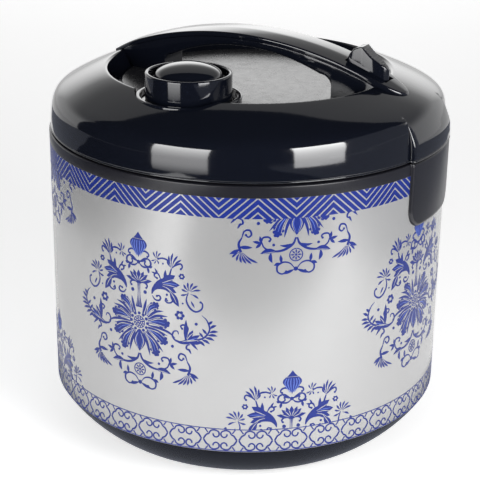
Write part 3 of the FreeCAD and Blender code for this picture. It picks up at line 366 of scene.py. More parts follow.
def small_lotus():
    """The half-open lotus on a stem between the two horns."""
    marks = [leaf((0, 20.5), (0, 27.6), 1.5), brush(((0, 21.5), (0, 18)), 3.4, 2.8, 1.6, 1.1)]
    marks += [brush(((0, 18.5), (0, 10), (0, 2)), 1.1, 0.9, 1.0, 1.5, 2.4)]
    sides = leaves(1.35, ((0.8, 20.5), (3.8, 27)), ((1.4, 20.3), (6.6, 25.4)), ((1.8, 20), (9.6, 21.6)))
    sides += curls(((0.8, 18.4), (2.6, 19.6), (5.2, 19.3), (6.4, 17.6), (5.6, 16.4)))
    return marks + mirrored(sides + [dot((4.7, 13.3), 1.25)])


def horn_spray():
    """A horn-shaped bud with its petals, fronds and curls, beside the small lotus."""
    marks = [brush(((9.6, 13.2), (10.6, 16.2), (13.6, 19.6), (17.6, 21.8), (21.2, 22.6)),
                   0.3, 1.2, 2.3, 3.3, 2.9)]
    marks += leaves(2.6, ((16.5, 22.5), (25.8, 28.3)), ((17, 21.5), (28.8, 22.2)))
    marks += leaves(2.2, ((17.5, 20.2), (26.6, 16.8)), ((22.5, 17), (28.2, 7.6)))
    marks += [leaf((19, 23.5), (19.2, 31.2), 1.1)]
    marks += [brush(((21, 24.5), (22.2, 28.5), (23.3, 32.5)), 0.9, 0.6, 0.4)]
    marks += fan((23.3, 32.6), 0.65, (24.4, 43.2), (21.6, 41), (27.6, 41.8), (30, 39.4), (20.4, 37.4))
    marks += fan((13.2, 37.4), 0.5, (13.6, 43), (16.2, 42), (10.9, 41.6), (9.4, 35.6), (11.4, 33.9),
                 (14.6, 34.2))
    marks += curls(((23.4, 32.8), (26.4, 35.4), (29.6, 36.6), (30.6, 34.6), (29.6, 33.2)),
                   ((22.6, 35.8), (20.4, 38), (17.2, 38.6), (14.4, 37.8)),
                   ((16, 24.2), (14.2, 27.6), (12, 27.6), (11.6, 25.6), (13.4, 24.6)),
                   ((12.5, 17.2), (16.5, 18), (20.5, 17.6), (24.2, 14.6), (23.8, 10.4), (21, 9), (19, 10.2),
                    (19.6, 11.6)),
                   ((9.9, 12.2), (11.8, 9.8), (14.6, 9.6), (15.8, 11.4), (14.8, 13), (13.2, 12.4)))
    marks += leaves(0.6, ((14, 27.4), (11.8, 31)), ((12.6, 27.4), (9.6, 28.2)))
    marks += [dot((20.2, 14.5), 0.8), dot((20.4, 10.6), 0.6), dot((17.6, 35), 0.6)]
    return mirrored(marks)


def side_sprays():
    """Blossoms, the ring-shaped curl with its burst of leaves, and the long frond at the widest place."""
    marks = blossom((30.2, 28.3), 2.1) + blossom((28.8, 1.8), 3.3) + [dot((30.8, 10.2), 0.6)]
    marks += curls(((34.4, 18), (33.2, 12.6), (35.6, 7.6), (39.6, 5.6), (43.2, 8), (43.6, 11.4),
                    (42.4, 12.4)),
                   ((28, -11.4), (27.2, -9.4), (24.9, -9.8), (23.8, -12.8), (25.6, -15.8), (29.4, -17)),
                   ((32.8, -12), (34.2, -6.4), (31.4, -4.4), (29.4, -5.6), (30.4, -7.2)),
                   ((35.6, -17.4), (33.6, -18.4), (33.2, -20.6), (35, -21.4)))
    marks += leaves(0.6, ((36.2, 12.4), (38.6, 8.2)), ((34.6, -20.4), (36.4, -24)))
    marks += fan((35, 18.4), 0.65, (37.6, 25), (40.6, 23.4), (42.4, 20.4), (34.2, 25), (31.4, 23.2),
                 (30, 19.8))
    marks += fan((35, 17.6), 0.65, (29.4, 15.6), (41, 14.8))
    marks += [brush(((25.4, -15.6), (29, -16.8), (33.4, -15.8), (37.4, -13.2)), 0.4, 1.0, 1.9, 2.0)]
    marks += leaves(1.4, ((34, -14.5), (37.6, -7.2)), ((35, -14.6), (42, -10.2)),
                    ((35, -15.6), (42.8, -15.8)), ((32.6, -15), (33, -0.6)))
    marks += [brush(((36, -15.8), (38.8, -18.6), (40.6, -20.6)), 0.9, 0.8, 0.1)]
    marks += [brush(((38, -14.5), (44.6, -11.6), (48.2, -6), (46.6, 0.2), (43.2, 3.6)),
                    0.7, 0.6, 0.55, 0.5, 0.1)]
    roots = ((40.4, -13.8), (42.8, -12.8), (44.8, -11.4), (46.4, -9.8), (47.6, -7.8), (48.1, -5.2),
             (47.6, -2.6))
    tips = ((45.2, -17.4), (48.4, -15.6), (51.4, -13), (53.2, -9.8), (53.6, -6.8), (52.6, -2.4),
            (50.2, 0.2))
    marks += [leaf(Vector(root).lerp(Vector(tip), 0.12), tip, 0.9, 0.08) for root, tip in zip(roots, tips)]
    marks += leaves(0.8, ((44.2, -11.6), (41.6, -8.2)), ((46.4, -9), (43.6, -5.6)))
    return mirrored(marks + [dot((39.6, -2.8), 1.0), dot((23.8, -20.4), 1.05)])


ROSETTE = Vector((0, -41.6))


def lower_sprays():
    """The tendrils below the flower, their leaves, the low fronds, the rosette and the knot at the foot."""
    marks = [brush(((0.4, -30.2), (2.2, -34.4), (7.6, -38), (14, -38.8), (19.8, -36.4), (21.8, -32)),
                   0.5, 0.8, 0.8, 0.6, 0.5, 0.4)]
    marks += curls(((33.8, -30), (32.2, -25.6), (29, -24.9), (27.9, -27.8), (29.8, -29.4), (31.2, -28)),
                   ((21.6, -32.8), (20.8, -29.8), (17.6, -29.4), (16, -30.8), (16.8, -32)),
                   ((1, -50.2), (3.8, -47), (8, -46.2), (11.6, -48.6), (11.4, -52.4), (8.4, -54),
                    (6, -52.4)))
    marks += [brush(((33.8, -30), (35.6, -34), (34.2, -39.4)), 0.4, 0.8, 0.8)]
    marks += leaves(1.15, ((35.2, -36), (27.2, -36.2)), ((35, -37.6), (41.2, -40.8)))
    marks += fan((34.4, -38.6), 0.68, (23.6, -46.4), (27.4, -47), (30.8, -46.8), (33.8, -46.4),
                 (36.8, -45.2), (39.6, -43))
    marks += [leaf((2.6, -34.2), (10.4, -35), 0.9, -0.12), leaf((12.4, -39), (22.4, -40.2), 1.7, 0.1)]
    marks += leaves(0.95, ((21.8, -33.4), (22.8, -28.6)), ((21.8, -33.4), (27, -32.2)),
                    ((21.8, -33.4), (25.2, -36.6)))
    marks += [leaf((15.8, -40), (14.8, -46.4), 1.2, 0.12), dot((14.2, -34.6), 0.9)]
    marks += leaves(1.0, ((1.2, -51.4), (7.8, -54.2)), ((9.2, -46.6), (9.8, -41.2)),
                    ((10.2, -46.6), (13.8, -48.2)))
    ring = [ROSETTE + 4.1 * Vector((math.sin(turn), math.cos(turn)))
            for turn in (0.02 + (math.tau - 0.04) * step / 24 for step in range(25))]
    rosette = [brush(ring, 0.35, 0.35), dot(ROSETTE, 0.8)]
    rosette += leaves(0.55, *zip(ring_of(ROSETTE, 8, 1.1), ring_of(ROSETTE, 8, 3.6)))
    return mirrored(marks) + rosette + [dot((0, -50.9), 1.4)]


FLOWER = Vector((0, -8.2))
SEEDS = ((12, 3.3), (7, 1.9), (1, 0))
LOBES = ((1.5, 0.95), (1.5, -0.95), (0.6, 0.8), (0.6, -0.8), (-0.1, 0.25), (0, -0.3))
LOBED = (((5.4, -2.8), (8.2, 3.0), (13.4, 6.4), 2.3), ((6.6, -6.8), (13.5, -5.4), (20.6, -5.6), 2.9),
         ((5.8, -11.6), (12.9, -14.2), (19.0, -18.8), 2.8), ((4.4, -14.2), (9.8, -20.8), (12.6, -28.4), 2.6))
BUD_PETALS = (((17.5, 22.2), (23, 22.4), (28.8, 22.2), 1.9), ((34, -14.8), (38, -13.2), (42, -11.5), 1.4))


def open_lotus():
    """The large open flower: seed head, ring of beads, lobed petals and the thin ones between them."""
    marks = [dot(FLOWER, 4.3), leaf((0, -13.6), (0, -28.6), 4.6)]
    marks += [dot(spot, 1.05) for spot in ring_of(FLOWER, 12, 6.1)]
    sides = []
    for root, middle, tip, half in LOBED:
        along = (Vector(tip) - Vector(middle)).normalized()
        across = Vector((-along.y, along.x))
        sides += [brush((root, middle, tip), *[share * half for share in PETAL_WIDTHS])]
        sides += [dot(Vector(tip) - along * half * back + across * half * aside, half * 0.42)
                  for back, aside in LOBES]
    sides += [brush(line, 0.3, 0.8, 0.9, 0.7, 0.05) for line in (
        ((2.6, -2.6), (4.2, 3), (5.6, 8.8)), ((4.4, -2.8), (6.2, 1.6), (7.6, 5.2)),
        ((6.3, -3.8), (12, 1.2), (17.8, 2.8)), ((6.6, -5), (13, -1.4), (20.6, -0.4)),
        ((6.8, -9.2), (15, -9.6), (21.5, -11.4), (25.8, -14.4)),
        ((6.6, -10.4), (13.4, -11.8), (20.4, -13.8)),
        ((5.6, -13), (12, -19.6), (17.2, -25.6)), ((3.2, -15), (6.2, -23), (7.8, -30)))]
    return marks + mirrored(sides)


def petal_lines(root, middle, tip, half, *sides):
    """Thin lines along a petal, each some way to the side of its middle."""
    root, middle, tip = (Vector(spot) for spot in (root, middle, tip))
    along = tip - root
    across = Vector((-along.y, along.x)).normalized() * half
    marks = []
    for aside in sides:
        end = middle.lerp(tip, 0.7) + across * aside
        marks.append(brush((root, middle + across * aside * 0.8, end), 0.12, 0.28, 0.12))
    return marks


def pale_marks():
    """Light ink over the dark: the middles of the petals and the ribs of the bud."""
    sides = []
    for petal in LOBED + BUD_PETALS:
        sides += petal_lines(*petal, 0)
    sides += [brush(((0.6, -15), (2.3, -21), (0.4, -27)), 0.05, 0.25, 0.05)]
    sides += [brush(((reach * 0.8, 47.4), (reach, 43.6), (reach * 0.3, 37.4)), 0.3, 0.42, 0.1)
              for reach in (1.1, 3.0, 4.8)]
    return mirrored(sides)


def light_marks():
    """Fine lines left clear in the ink: seeds, the edges of petals, and the folds of the small flowers."""
    marks = []
    for count, radius in SEEDS:
        marks += [dot(spot, 0.5) for spot in ring_of(FLOWER, count, radius)]
    sides = []
    for petal in LOBED:
        sides += petal_lines(*petal, -0.85, 0.85)
    folds = (((0.3, 20.6), (0.9, 22.6), (1.9, 25)), ((0.9, 20.4), (2.6, 22.4), (4.7, 24.4)),
             ((1.5, 19.8), (4.2, 21), (7, 22.4)), ((0.5, 18.4), (0.45, 10), (0.9, 3)),
             ((17, 22), (20.6, 23.8), (25.2, 26)),
             ((17.6, 21), (22, 21.2), (27.4, 20.2)), ((17.2, 20), (21, 18.8), (25.2, 15.8)),
             ((21.6, 18), (24.6, 14), (26.6, 10)), ((30.4, -16.2), (34, -14.9), (38.4, -13.6)),
             ((33.6, -14.4), (35.4, -11.4), (38.2, -8.6)), ((33.6, -15.4), (37, -14.6), (41, -13.6)),
             ((13.4, -39.1), (16.8, -39.6), (20.6, -40)), ((1.2, -16), (3.1, -21.4), (0.8, -28)))
    return marks + mirrored(sides + [brush(fold, 0.1, 0.26, 0.08) for fold in folds])


def flat_prisms(marks, rise=0.0):
    """Marks as thin closed prisms on a flat sheet, each a hair above the one before, wide ones in lanes."""
    sheet = bmesh.new()
    for number, (left, right) in enumerate(marks):
        high = INK_HIGH + rise + INK_STEP * (number % INK_ORDER)
        widest = max((one - other).length for one, other in zip(left, right))
        lanes = 1 + int(widest / LANE)
        edges = [([one.lerp(other, lane / lanes) for one, other in zip(left, right)], high)
                 for lane in range(lanes + 1)]
        edges += [(right, INK_LOW), (left, INK_LOW)]
        rails = [[sheet.verts.new((spot.x, spot.y, level)) for spot in edge] for edge, level in edges]
        for one, other in zip(rails, rails[1:] + rails[:1]):
            for index in range(len(left) - 1):
                sheet.faces.new((one[index], one[index + 1], other[index + 1], other[index]))
        for end in (0, -1):
            sheet.faces.new([rail[end] for rail in rails])
    return sheet


UPWARD = Vector((0, 1, 0))
SIDEWAYS = Vector((1, 0, 0))


def trimmed(sheet, low, high, axis=UPWARD):
    """A copy of a sheet of prisms cut off outside two levels along an axis, with its cut ends closed."""
    sheet = sheet.copy()
    for level, way in ((low, -1), (high, 1)):
        around = sheet.verts[:] + sheet.edges[:] + sheet.faces[:]
        bmesh.ops.bisect_plane(sheet, geom=around, plane_co=axis * level, plane_no=axis * way,
                               clear_outer=True)
        open_edges = [edge for edge in sheet.edges if edge.is_boundary]
        bmesh.ops.holes_fill(sheet, edges=open_edges, sides=0)
    return sheet


def wrapped(sheets):
    """Points and faces of flat sheets laid on the shell, each at an angle from the front and a height."""
    points = []
    faces = []
    for sheet, facing, height in sheets:
        start = len(points)
        sheet.verts.index_update()
        for corner in sheet.verts:
            angle = facing + corner.co.x / SHELL_RADIUS
            out = corner.co.z
            points.append((out * math.sin(angle), -out * math.cos(angle), corner.co.y + height))
        faces += [tuple(start + corner.index for corner in face.verts) for face in sheet.faces]
    return points, faces


CHEVRON_LOW = 196.6
SCROLL_HIGH = 52.2
SPRAY_HEIGHT = 127.5
HALF_DROP = 86.8
WHOLE_SPRAYS = (-93.2, -7.9, -177.5)
CUT_SPRAYS = (-50.5, -135.1, 34.5, 140.1)
PALE_RISE = 0.06
LIGHT_RISE = 0.09
dark = flat_prisms(finial() + small_lotus() + horn_spray() + side_sprays() + lower_sprays() + open_lotus())
pale = flat_prisms(pale_marks(), PALE_RISE)
light = flat_prisms(light_marks(), LIGHT_RISE)
for name, ink, sheet in (("spray_print", ink_blue, dark), ("spray_veins", ink_pale, pale),
                         ("spray_lines", silver_film, light)):
    laid = [(sheet, math.radians(facing), SPRAY_HEIGHT) for facing in WHOLE_SPRAYS]
    for drop in (HALF_DROP, -HALF_DROP):
        height = SPRAY_HEIGHT + drop
        cut_sheet = trimmed(sheet, SCROLL_HIGH + 0.4 - height, CHEVRON_LOW - height)
        laid += [(cut_sheet, math.radians(facing), height) for facing in CUT_SPRAYS]
    build(name, *wrapped(laid), ink, "body", "printed_steel")

# Chevron border: blue ink stripes under the rim, with a valley and a peak every twenty degrees.
# They are screened with the sprays, and stop on both sides of the hinge behind.

CHEVRONS = 18
FIRST_VALLEY = -50.7
STRIPE_START = 1.2
STRIPE_STEPS = 40
CHEVRON_TALL = SHELL_TOP - CHEVRON_LOW
CHEVRON_HALF = math.radians(180 / CHEVRONS) * SHELL_RADIUS
CHEVRON_SLOPE = 0.91
STRIPE_PITCH = 4.7
STRIPE_GAP = 1.25
marks = []
for number in range(-6, 3):
    base = STRIPE_START + STRIPE_GAP / 2 + number * STRIPE_PITCH
    edges = [], []
    for step in range(-STRIPE_STEPS, STRIPE_STEPS + 1):
        across = CHEVRON_HALF * step / STRIPE_STEPS
        low = base + CHEVRON_SLOPE * abs(across)
        lower = min(CHEVRON_TALL, max(0, low))
        upper = min(CHEVRON_TALL, max(0, low + STRIPE_PITCH - STRIPE_GAP))
        if upper - lower > 0.02:
            edges[0].append(Vector((across, upper)))
            edges[1].append(Vector((across, lower)))
        elif edges[0]:
            marks.append(edges)
            edges = [], []
    if edges[0]:
        marks.append(edges)
marks = [edges for edges in marks if len(edges[0]) > 1]
stripes = flat_prisms(marks)
HINGE_REACH = math.radians(13)
laid = []
for number in range(CHEVRONS):
    valley = math.radians(FIRST_VALLEY + 360 / CHEVRONS * number)
    from_hinge = valley % math.tau - math.pi
    unit = stripes
    if -2 * HINGE_REACH < from_hinge < 0:
        unit = trimmed(stripes, -CHEVRON_HALF - 1, (-HINGE_REACH - from_hinge) * SHELL_RADIUS, SIDEWAYS)
    elif 0 < from_hinge < 2 * HINGE_REACH:
        unit = trimmed(stripes, (HINGE_REACH - from_hinge) * SHELL_RADIUS, CHEVRON_HALF + 1, SIDEWAYS)
    laid.append((unit, valley, CHEVRON_LOW))
build("chevron_border", *wrapped(laid), ink_blue, "body", "printed_steel")

# Scroll border: cells of four mirrored curls between two fine lines, in the same blue ink above the base.
# Only its lower part runs on under the control panel.

SHELL_LOW = sizes("outer_shell")[0].z
CELLS = 37
CELL_WIDE = math.tau * SHELL_RADIUS / CELLS
CELL_TALL = 16.6
FIRST_CELL = math.radians(-65.0)
RULES = (16.25, 0.55)
RULE_HALF = 0.3
RULE_STEPS = 12
CURLS_UNDER_PANEL = 11.4
RULES_UNDER_PANEL = 2
PANEL_REACH = math.radians(12)


def across_cell(edge):
    """An edge of a mark mirrored from the cell's left half to its right."""
    return [Vector((CELL_WIDE - spot.x, spot.y)) for spot in edge]


def down_cell(edge):
    """An edge of a mark mirrored from the cell's upper half to its lower."""
    return [Vector((spot.x, CELL_TALL - spot.y)) for spot in edge]


quarter = [brush(((0.7, 8.4), (2.5, 11.4), (4.2, 12.4)), 0.5, 0.55, 0.5),
           brush(((4.2, 12.4), (5.5, 14.6), (8, 15.3), (10.6, 14), (10.8, 11.5), (9, 10.2), (7.3, 11.2),
                  (7, 12.7)),
                 0.5, 0.52, 0.5, 0.5),
           brush(((1.7, 16), (3.6, 13.2)), 0.42, 0.42)]
scrolls = flat_prisms(mirrored(mirrored(quarter, across_cell), down_cell))
rule_places = [CELL_WIDE * step / RULE_STEPS for step in range(RULE_STEPS + 1)]
rules = flat_prisms([([Vector((across, height + RULE_HALF)) for across in rule_places],
                      [Vector((across, height - RULE_HALF)) for across in rule_places]) for height in RULES])
under_panel = (trimmed(scrolls, 0, CURLS_UNDER_PANEL), trimmed(rules, 0, RULES_UNDER_PANEL))
laid = []
for number in range(CELLS):
    start = FIRST_CELL + math.tau * number / CELLS
    middle = start + math.pi / CELLS
    beside_panel = abs((middle - math.pi / 2 + math.pi) % math.tau - math.pi) < PANEL_REACH
    for sheet in under_panel if beside_panel else (scrolls, rules):
        laid.append((sheet, start, SHELL_LOW))
build("scroll_border", *wrapped(laid), ink_blue, "body", "printed_steel")

# Control panel: a satin insert in the shell's right side with two lamps above the cook knob.
# It clips in from behind, and its lenses are pressed into it.

lens_red = finish("lens_red", (0.55, 0.03, 0.02), 0.15, coat=0.5)
lens_amber = finish("lens_amber", (0.75, 0.35, 0.03), 0.15, coat=0.5)
lamp_glass = finish("lamp_glass", (0.8, 0.8, 0.76), 0.1)
board_laminate = finish("board_laminate", (0.45, 0.30, 0.14), 0.6)
dress(black_satin, "control_panel", "lever_knob")
dress(lens_red, "cook_lens")
dress(lens_amber, "warm_lens")
dress(lamp_glass, "indicator_lamps")
dress(board_laminate, "lamp_board")

# Rim ring: a satin charcoal moulding on the shell's top edge.
# A shield-shaped tab hangs from it in front, under the latch, and another behind, under the hinge.

SEAM = sizes("rim_ring")[1].z
RIM_INSIDE = 123.5
RIM_UNDER = SEAM - 4.1
RIM_OUTSIDE = SHELL_RADIUS + 0.15
SPIGOT_LOW = SHELL_TOP - 8
SPIGOT_INSIDE = SHELL_RADIUS - 3.1
SPIGOT_OUTSIDE = SHELL_RADIUS - 1.1
TAB_REACH = sizes("rim_ring")[1].y
TAB_HALF = 34.5
TAB_LOW = sizes("rim_ring")[0].z
TAB_CORNER = 13.0
TAB_EDGE = 2.4
TAB_BACK = 135.6
TAB_ZONE = 6
TAB_STEPS = 16
SEAM_EASE = 0.6


def eased(first, last, steps):
    """Values from first to last that crowd together at the start."""
    return [first + (last - first) * (1 - math.cos(math.pi / 2 * step / steps)) for step in range(steps)]


def tab(facing):
    """Points and faces of a tab wrapped on the shell, with all its hanging edges rounded."""
    sides = eased(-TAB_HALF, -TAB_HALF + TAB_ZONE, TAB_STEPS)
    sides += [-TAB_HALF + TAB_ZONE + 2.5 * step for step in range(12)]
    sides = [side for side in sides if side < -1]
    across = [side / TAB_HALF for side in sides] + [0] + [-side / TAB_HALF for side in reversed(sides)]
    rows = eased(TAB_LOW, TAB_LOW + TAB_ZONE, TAB_STEPS)
    rows += [TAB_LOW + TAB_ZONE + 2.4 * step for step in range(16)]
    rows = [row for row in rows if row < SEAM - 2 * SEAM_EASE] + [SEAM - SEAM_EASE, SEAM]
    points = []
    for depth in ("face", "back"):
        for row in rows:
            drop = max(0, TAB_LOW + TAB_CORNER - row)
            half = TAB_HALF - TAB_CORNER + math.sqrt(TAB_CORNER ** 2 - drop ** 2)
            for share in across:
                side = half * share
                out = abs(side) - (TAB_HALF - TAB_CORNER)
                inside = TAB_CORNER - (math.hypot(out, drop) if out > 0 else drop)
                inside = min(inside, TAB_HALF - abs(side)) if drop == 0 else inside
                slope = 1 - min(1, max(0, inside) / TAB_EDGE)
                rise = (TAB_REACH - TAB_BACK) * math.sqrt(1 - slope * slope)
                if row == SEAM:
                    rise -= min(rise, SEAM_EASE)
                reach = TAB_BACK + (rise if depth == "face" else -1)
                angle = facing + side / TAB_REACH
                points.append((reach * math.sin(angle), -reach * math.cos(angle), row))
    wide = len(across)
    tall = len(rows)
    faces = []
    for row in range(tall - 1):
        for column in range(wide - 1):
            corner = row * wide + column
            quad = (corner, corner + 1, corner + wide + 1, corner + wide)
            faces.append(quad)
            faces.append(tuple(index + wide * tall for index in reversed(quad)))
    edge = list(range(wide))
    edge += [row * wide + wide - 1 for row in range(1, tall)]
    edge += [(tall - 1) * wide + column for column in range(wide - 2, -1, -1)]
    edge += [row * wide for row in range(tall - 2, 0, -1)]
    for number, index in enumerate(edge):
        after = edge[(number + 1) % len(edge)]
        faces.append((index, index + wide * tall, after + wide * tall, after))
    return points, faces


def cutter(low, high):
    """A block that is cut out of other pieces, between two corners in millimetres."""
    shape = bmesh.new()
    bmesh.ops.create_cube(shape, size=1)
    for corner in shape.verts:
        for axis in range(3):
            corner.co[axis] = (high if corner.co[axis] > 0 else low)[axis] * MM
    mesh = bpy.data.meshes.new("cutter")
    shape.to_mesh(mesh)
    shape.free()
    block = bpy.data.objects.new("cutter", mesh)
    bpy.context.scene.collection.objects.link(block)
    return block


def cut_out(piece, *blocks):
    """Cut blocks out of a piece and throw the blocks away."""
    for block in blocks:
        step = piece.modifiers.new("cut", "BOOLEAN")
        step.object = block
        step.solver = "EXACT"
    view = bpy.context.evaluated_depsgraph_get()
    mesh = bpy.data.meshes.new_from_object(piece.evaluated_get(view))
    piece.modifiers.clear()
    piece.data = mesh
    for block in blocks:
        bpy.data.objects.remove(block)
    smooth(piece)


rim_section = rounded([
    (RIM_INSIDE, RIM_UNDER, 0.6),
    (SPIGOT_INSIDE, RIM_UNDER, 0),
    (SPIGOT_INSIDE, SPIGOT_LOW, 0.4),
    (SPIGOT_OUTSIDE, SPIGOT_LOW, 0.4),
    (SPIGOT_OUTSIDE, SHELL_TOP, 0),
    (RIM_OUTSIDE, SHELL_TOP, 0.3),
    (RIM_OUTSIDE, SEAM, 1.0),
    (RIM_INSIDE, SEAM, 0.6),
])
rim_satin = finish("rim_satin", (0.010, 0.010, 0.014), 0.30, mottle=0.10, grain=0.0008, dent=0.02)
rim = build("rim_band", *lathe(rim_section, columns=360), rim_satin, "body", "black_gloss", "rim_ring")
NOTCH_HALF = 22.5
NOTCH_LOW = 204.0
HINGE_NOTCH = ((-NOTCH_HALF, 110, NOTCH_LOW), (NOTCH_HALF, 160, SEAM + 5))
LATCH_POCKET = ((-11.5, -136, 210.2), (11.5, -126.3, SEAM + 5))
cut_out(rim, cutter(*HINGE_NOTCH), cutter(*LATCH_POCKET))
front_tab = build("latch_tab", *tab(0), rim_satin, "body", "black_gloss")
rear_tab = build("hinge_tab", *tab(math.pi), rim_satin, "body", "black_gloss")
cut_out(front_tab, cutter(*LATCH_POCKET))
cut_out(rear_tab, cutter(*HINGE_NOTCH))

# Lid cover: one glossy black moulding, a dome with a sunken dish for the handle.
# Its front is drawn out into a nose that stands over the latch and meets the tab below.

LID_LOW = sizes("lid_cover")[0].z
LID_RADIUS = 135.0
NOSE_REACH = -sizes("lid_cover")[0].y
NOSE_HALF = math.asin(TAB_HALF / TAB_REACH)
NOSE_EDGE = 2.8 / TAB_REACH
DISH_RIM = 97.0
DISH_TOP = 258.0
DISH_FLOOR = 246.8
LID_SKIN = 2.5
FULLNESS = 2.2
SWELL_LOW = 233
SWELL_WAY = Vector((0.7, 0.7))
LIP = 0.3
BEAD = 0.6
SHOULDER = (124.5, 246.4)


def sweep(start, leave, arrive, end, steps):
    """Points along a cubic curve after its start, from two ends and the two handles that shape it."""
    start, leave, arrive, end = (Vector(point) for point in (start, leave, arrive, end))
    line = []
    for step in range(1, steps + 1):
        share = step / steps
        rest = 1 - share
        line.append(start * rest ** 3 + leave * 3 * rest ** 2 * share + arrive * 3 * rest * share ** 2
                    + end * share ** 3)
    return line


def lid_section(radius, wall_top, lean):
    """Half the lid's section from the bead at its lower edge up to the dish's rim."""
    line = [Vector((radius + LIP - BEAD * (1 - math.cos(angle)), LID_LOW + BEAD * (1 + math.sin(angle))))
            for angle in (math.pi * (step / 10 - 0.5) for step in range(10))]
    line += sweep(line[-1], (radius, LID_LOW + 1.4), (radius, LID_LOW + 1.8), (radius, LID_LOW + 2.6), 5)
    slope = 2 * lean / (wall_top - LID_LOW)
    top = (radius - lean, wall_top)
    line += sweep(line[-1], (radius, LID_LOW + 7), (radius - lean + 5 * slope, wall_top - 5), top, 12)
    line += sweep(line[-1], (radius - lean - 8.6 * slope, wall_top + 8.6), (130.2, 243.2), SHOULDER, 24)
    line += sweep(line[-1], (118, 250.1), (107, 255.4), (DISH_RIM + 1.6, DISH_TOP - 0.3), 20)
    return line


def lid_columns():
    """Angles round the lid from the front, crowded at the nose's two edges."""
    half = [NOSE_HALF * step / 16 * 0.9 for step in range(16)]
    half += [NOSE_HALF - NOSE_EDGE * (1 - math.cos(math.pi / 2 * (14 - step) / 14)) for step in range(15)]
    half = sorted(set(half))
    half += [NOSE_HALF + (math.pi - NOSE_HALF) * step / 130 for step in range(1, 130)]
    return half + [math.pi] + [-angle for angle in reversed(half[1:])]


plain = lid_section(LID_RADIUS, 232, 0.8)
nosed = lid_section(NOSE_REACH, 227.5, 0.3)
inside = [(DISH_RIM + 0.4, DISH_TOP), (DISH_RIM - 0.7, DISH_TOP - 0.3), (DISH_RIM - 1.6, DISH_TOP - 1.3),
          (89.4, DISH_FLOOR + 1), (88.4, DISH_FLOOR + 0.1), (86.5, DISH_FLOOR), (40, DISH_FLOOR),
          (4, DISH_FLOOR), (4, DISH_FLOOR - LID_SKIN), (90, DISH_FLOOR - LID_SKIN), (97.5, DISH_TOP - 3.4),
          (123.5, 243.2), (131.7, 231), (132.4, LID_LOW)]
points = []
faces = []
angles = lid_columns()
for angle in angles:
    edge = min(1, max(0, (NOSE_HALF - abs(angle)) / NOSE_EDGE))
    swell = math.sqrt(1 - (1 - edge) ** 2)
    front = max(0, math.cos(angle * 0.9)) ** 3 if abs(angle) < math.pi / 1.8 else 0
    column = []
    for low, high in zip(plain, nosed):
        spot = low.lerp(high, swell)
        share = min(1, max(0, (spot.y - SWELL_LOW) / (DISH_TOP - SWELL_LOW)))
        bulge = FULLNESS * front * math.sin(math.pi * share) ** 2
        column.append(spot + SWELL_WAY * bulge)
    column += [Vector(spot) for spot in inside]
    for spot in column:
        points.append((spot.x * math.sin(angle), -spot.x * math.cos(angle), spot.y))
rows = len(plain) + len(inside)
for number in range(len(angles)):
    here = number * rows
    there = (number + 1) % len(angles) * rows
    for row in range(rows):
        after = (row + 1) % rows
        faces.append((here + row, there + row, there + after, here + after))
lid = build("lid_dome", points, faces, black_gloss, "lid", "black_gloss", "lid_cover")

VENT_PLACE = (-76.5, 4.5)
CUP_RADIUS = 34.1
CUP_GAP = 0.25


def drum(centre, radius, low, high):
    """A round block that is cut out of other pieces."""
    shape = bmesh.new()
    bmesh.ops.create_cone(shape, cap_ends=True, segments=160, radius1=radius * MM, radius2=radius * MM,
                          depth=(high - low) * MM)
    bmesh.ops.translate(shape, verts=shape.verts, vec=Vector((*centre, (low + high) / 2)) * MM)
    mesh = bpy.data.meshes.new("drum")
    shape.to_mesh(mesh)
    shape.free()
    block = bpy.data.objects.new("drum", mesh)
    bpy.context.scene.collection.objects.link(block)
    return block


cut_out(lid, drum(VENT_PLACE, CUP_RADIUS + CUP_GAP, 230, 290))

# Dish plate: the thin dark inset of smooth satin plastic that lines the bottom of the dish.
# It is cut out round the vent's cup and the two feet of the handle.

dish_satin = finish("dish_satin", (0.02, 0.02, 0.022), 0.26, grain=0.006, dent=0.002, index=1.7)
dress(dish_satin, "dish_plate")

# Steam vent: a fixed cup in the lid, and a cap of ring and dome that lifts out for washing.
# All of it is moulded in the lid's glossy black.

VENT_COLUMNS = 160
CUP_LOW = 222
CUP_SKIRT = 242
CUP_FLOOR = 252
CUP_TOP = 255
vent_cup = rounded([
    (8, CUP_LOW, 0), (8, CUP_FLOOR - 2, 0), (CUP_RADIUS - 2, CUP_FLOOR - 2, 0),
    (CUP_RADIUS - 2, CUP_SKIRT, 0), (CUP_RADIUS, CUP_SKIRT, 0), (CUP_RADIUS, CUP_TOP, 1.1),
    (31, CUP_TOP, 0.8), (31, CUP_FLOOR, 0.6), (6, CUP_FLOOR, 0), (6, CUP_LOW, 0),
])
build("vent_cup_moulding", *lathe(vent_cup, VENT_PLACE, VENT_COLUMNS), black_gloss, "lid", "black_gloss",
      "vent_cup")
RING = 27.8
RING_LOW = 252.3
RING_TOP = sizes("vent_ring")[1].z
CAP_UNDER = 261.5
CAP_FLOOR = 264
vent_ring = rounded([
    (RING - 2.2, RING_LOW, 0), (RING, RING_LOW, 0.5), (RING, RING_TOP, 1.1), (RING - 2.4, RING_TOP, 0.9),
    (RING - 2.6, CAP_FLOOR, 0.4), (19.7, CAP_FLOOR, 0), (19.7, CAP_UNDER, 0), (RING - 2.2, CAP_UNDER, 0),
])
build("vent_cap_ring", *lathe(vent_ring, VENT_PLACE, VENT_COLUMNS), black_gloss, "vent_cap", "black_gloss",
      "vent_ring")
DOME_RADIUS = 21.7
DOME_SPRING = 267.2
DOME_TOP = sizes("vent_dome")[1].z
AXIS = 0.01
crown = [Vector((DOME_RADIUS * math.cos(angle), DOME_SPRING + (DOME_TOP - DOME_SPRING) * math.sin(angle)))
         for angle in (math.pi / 2 * step / 20 for step in range(20))]
vent_dome = [Vector((AXIS, CAP_FLOOR)), Vector((DOME_RADIUS - 0.4, CAP_FLOOR))]
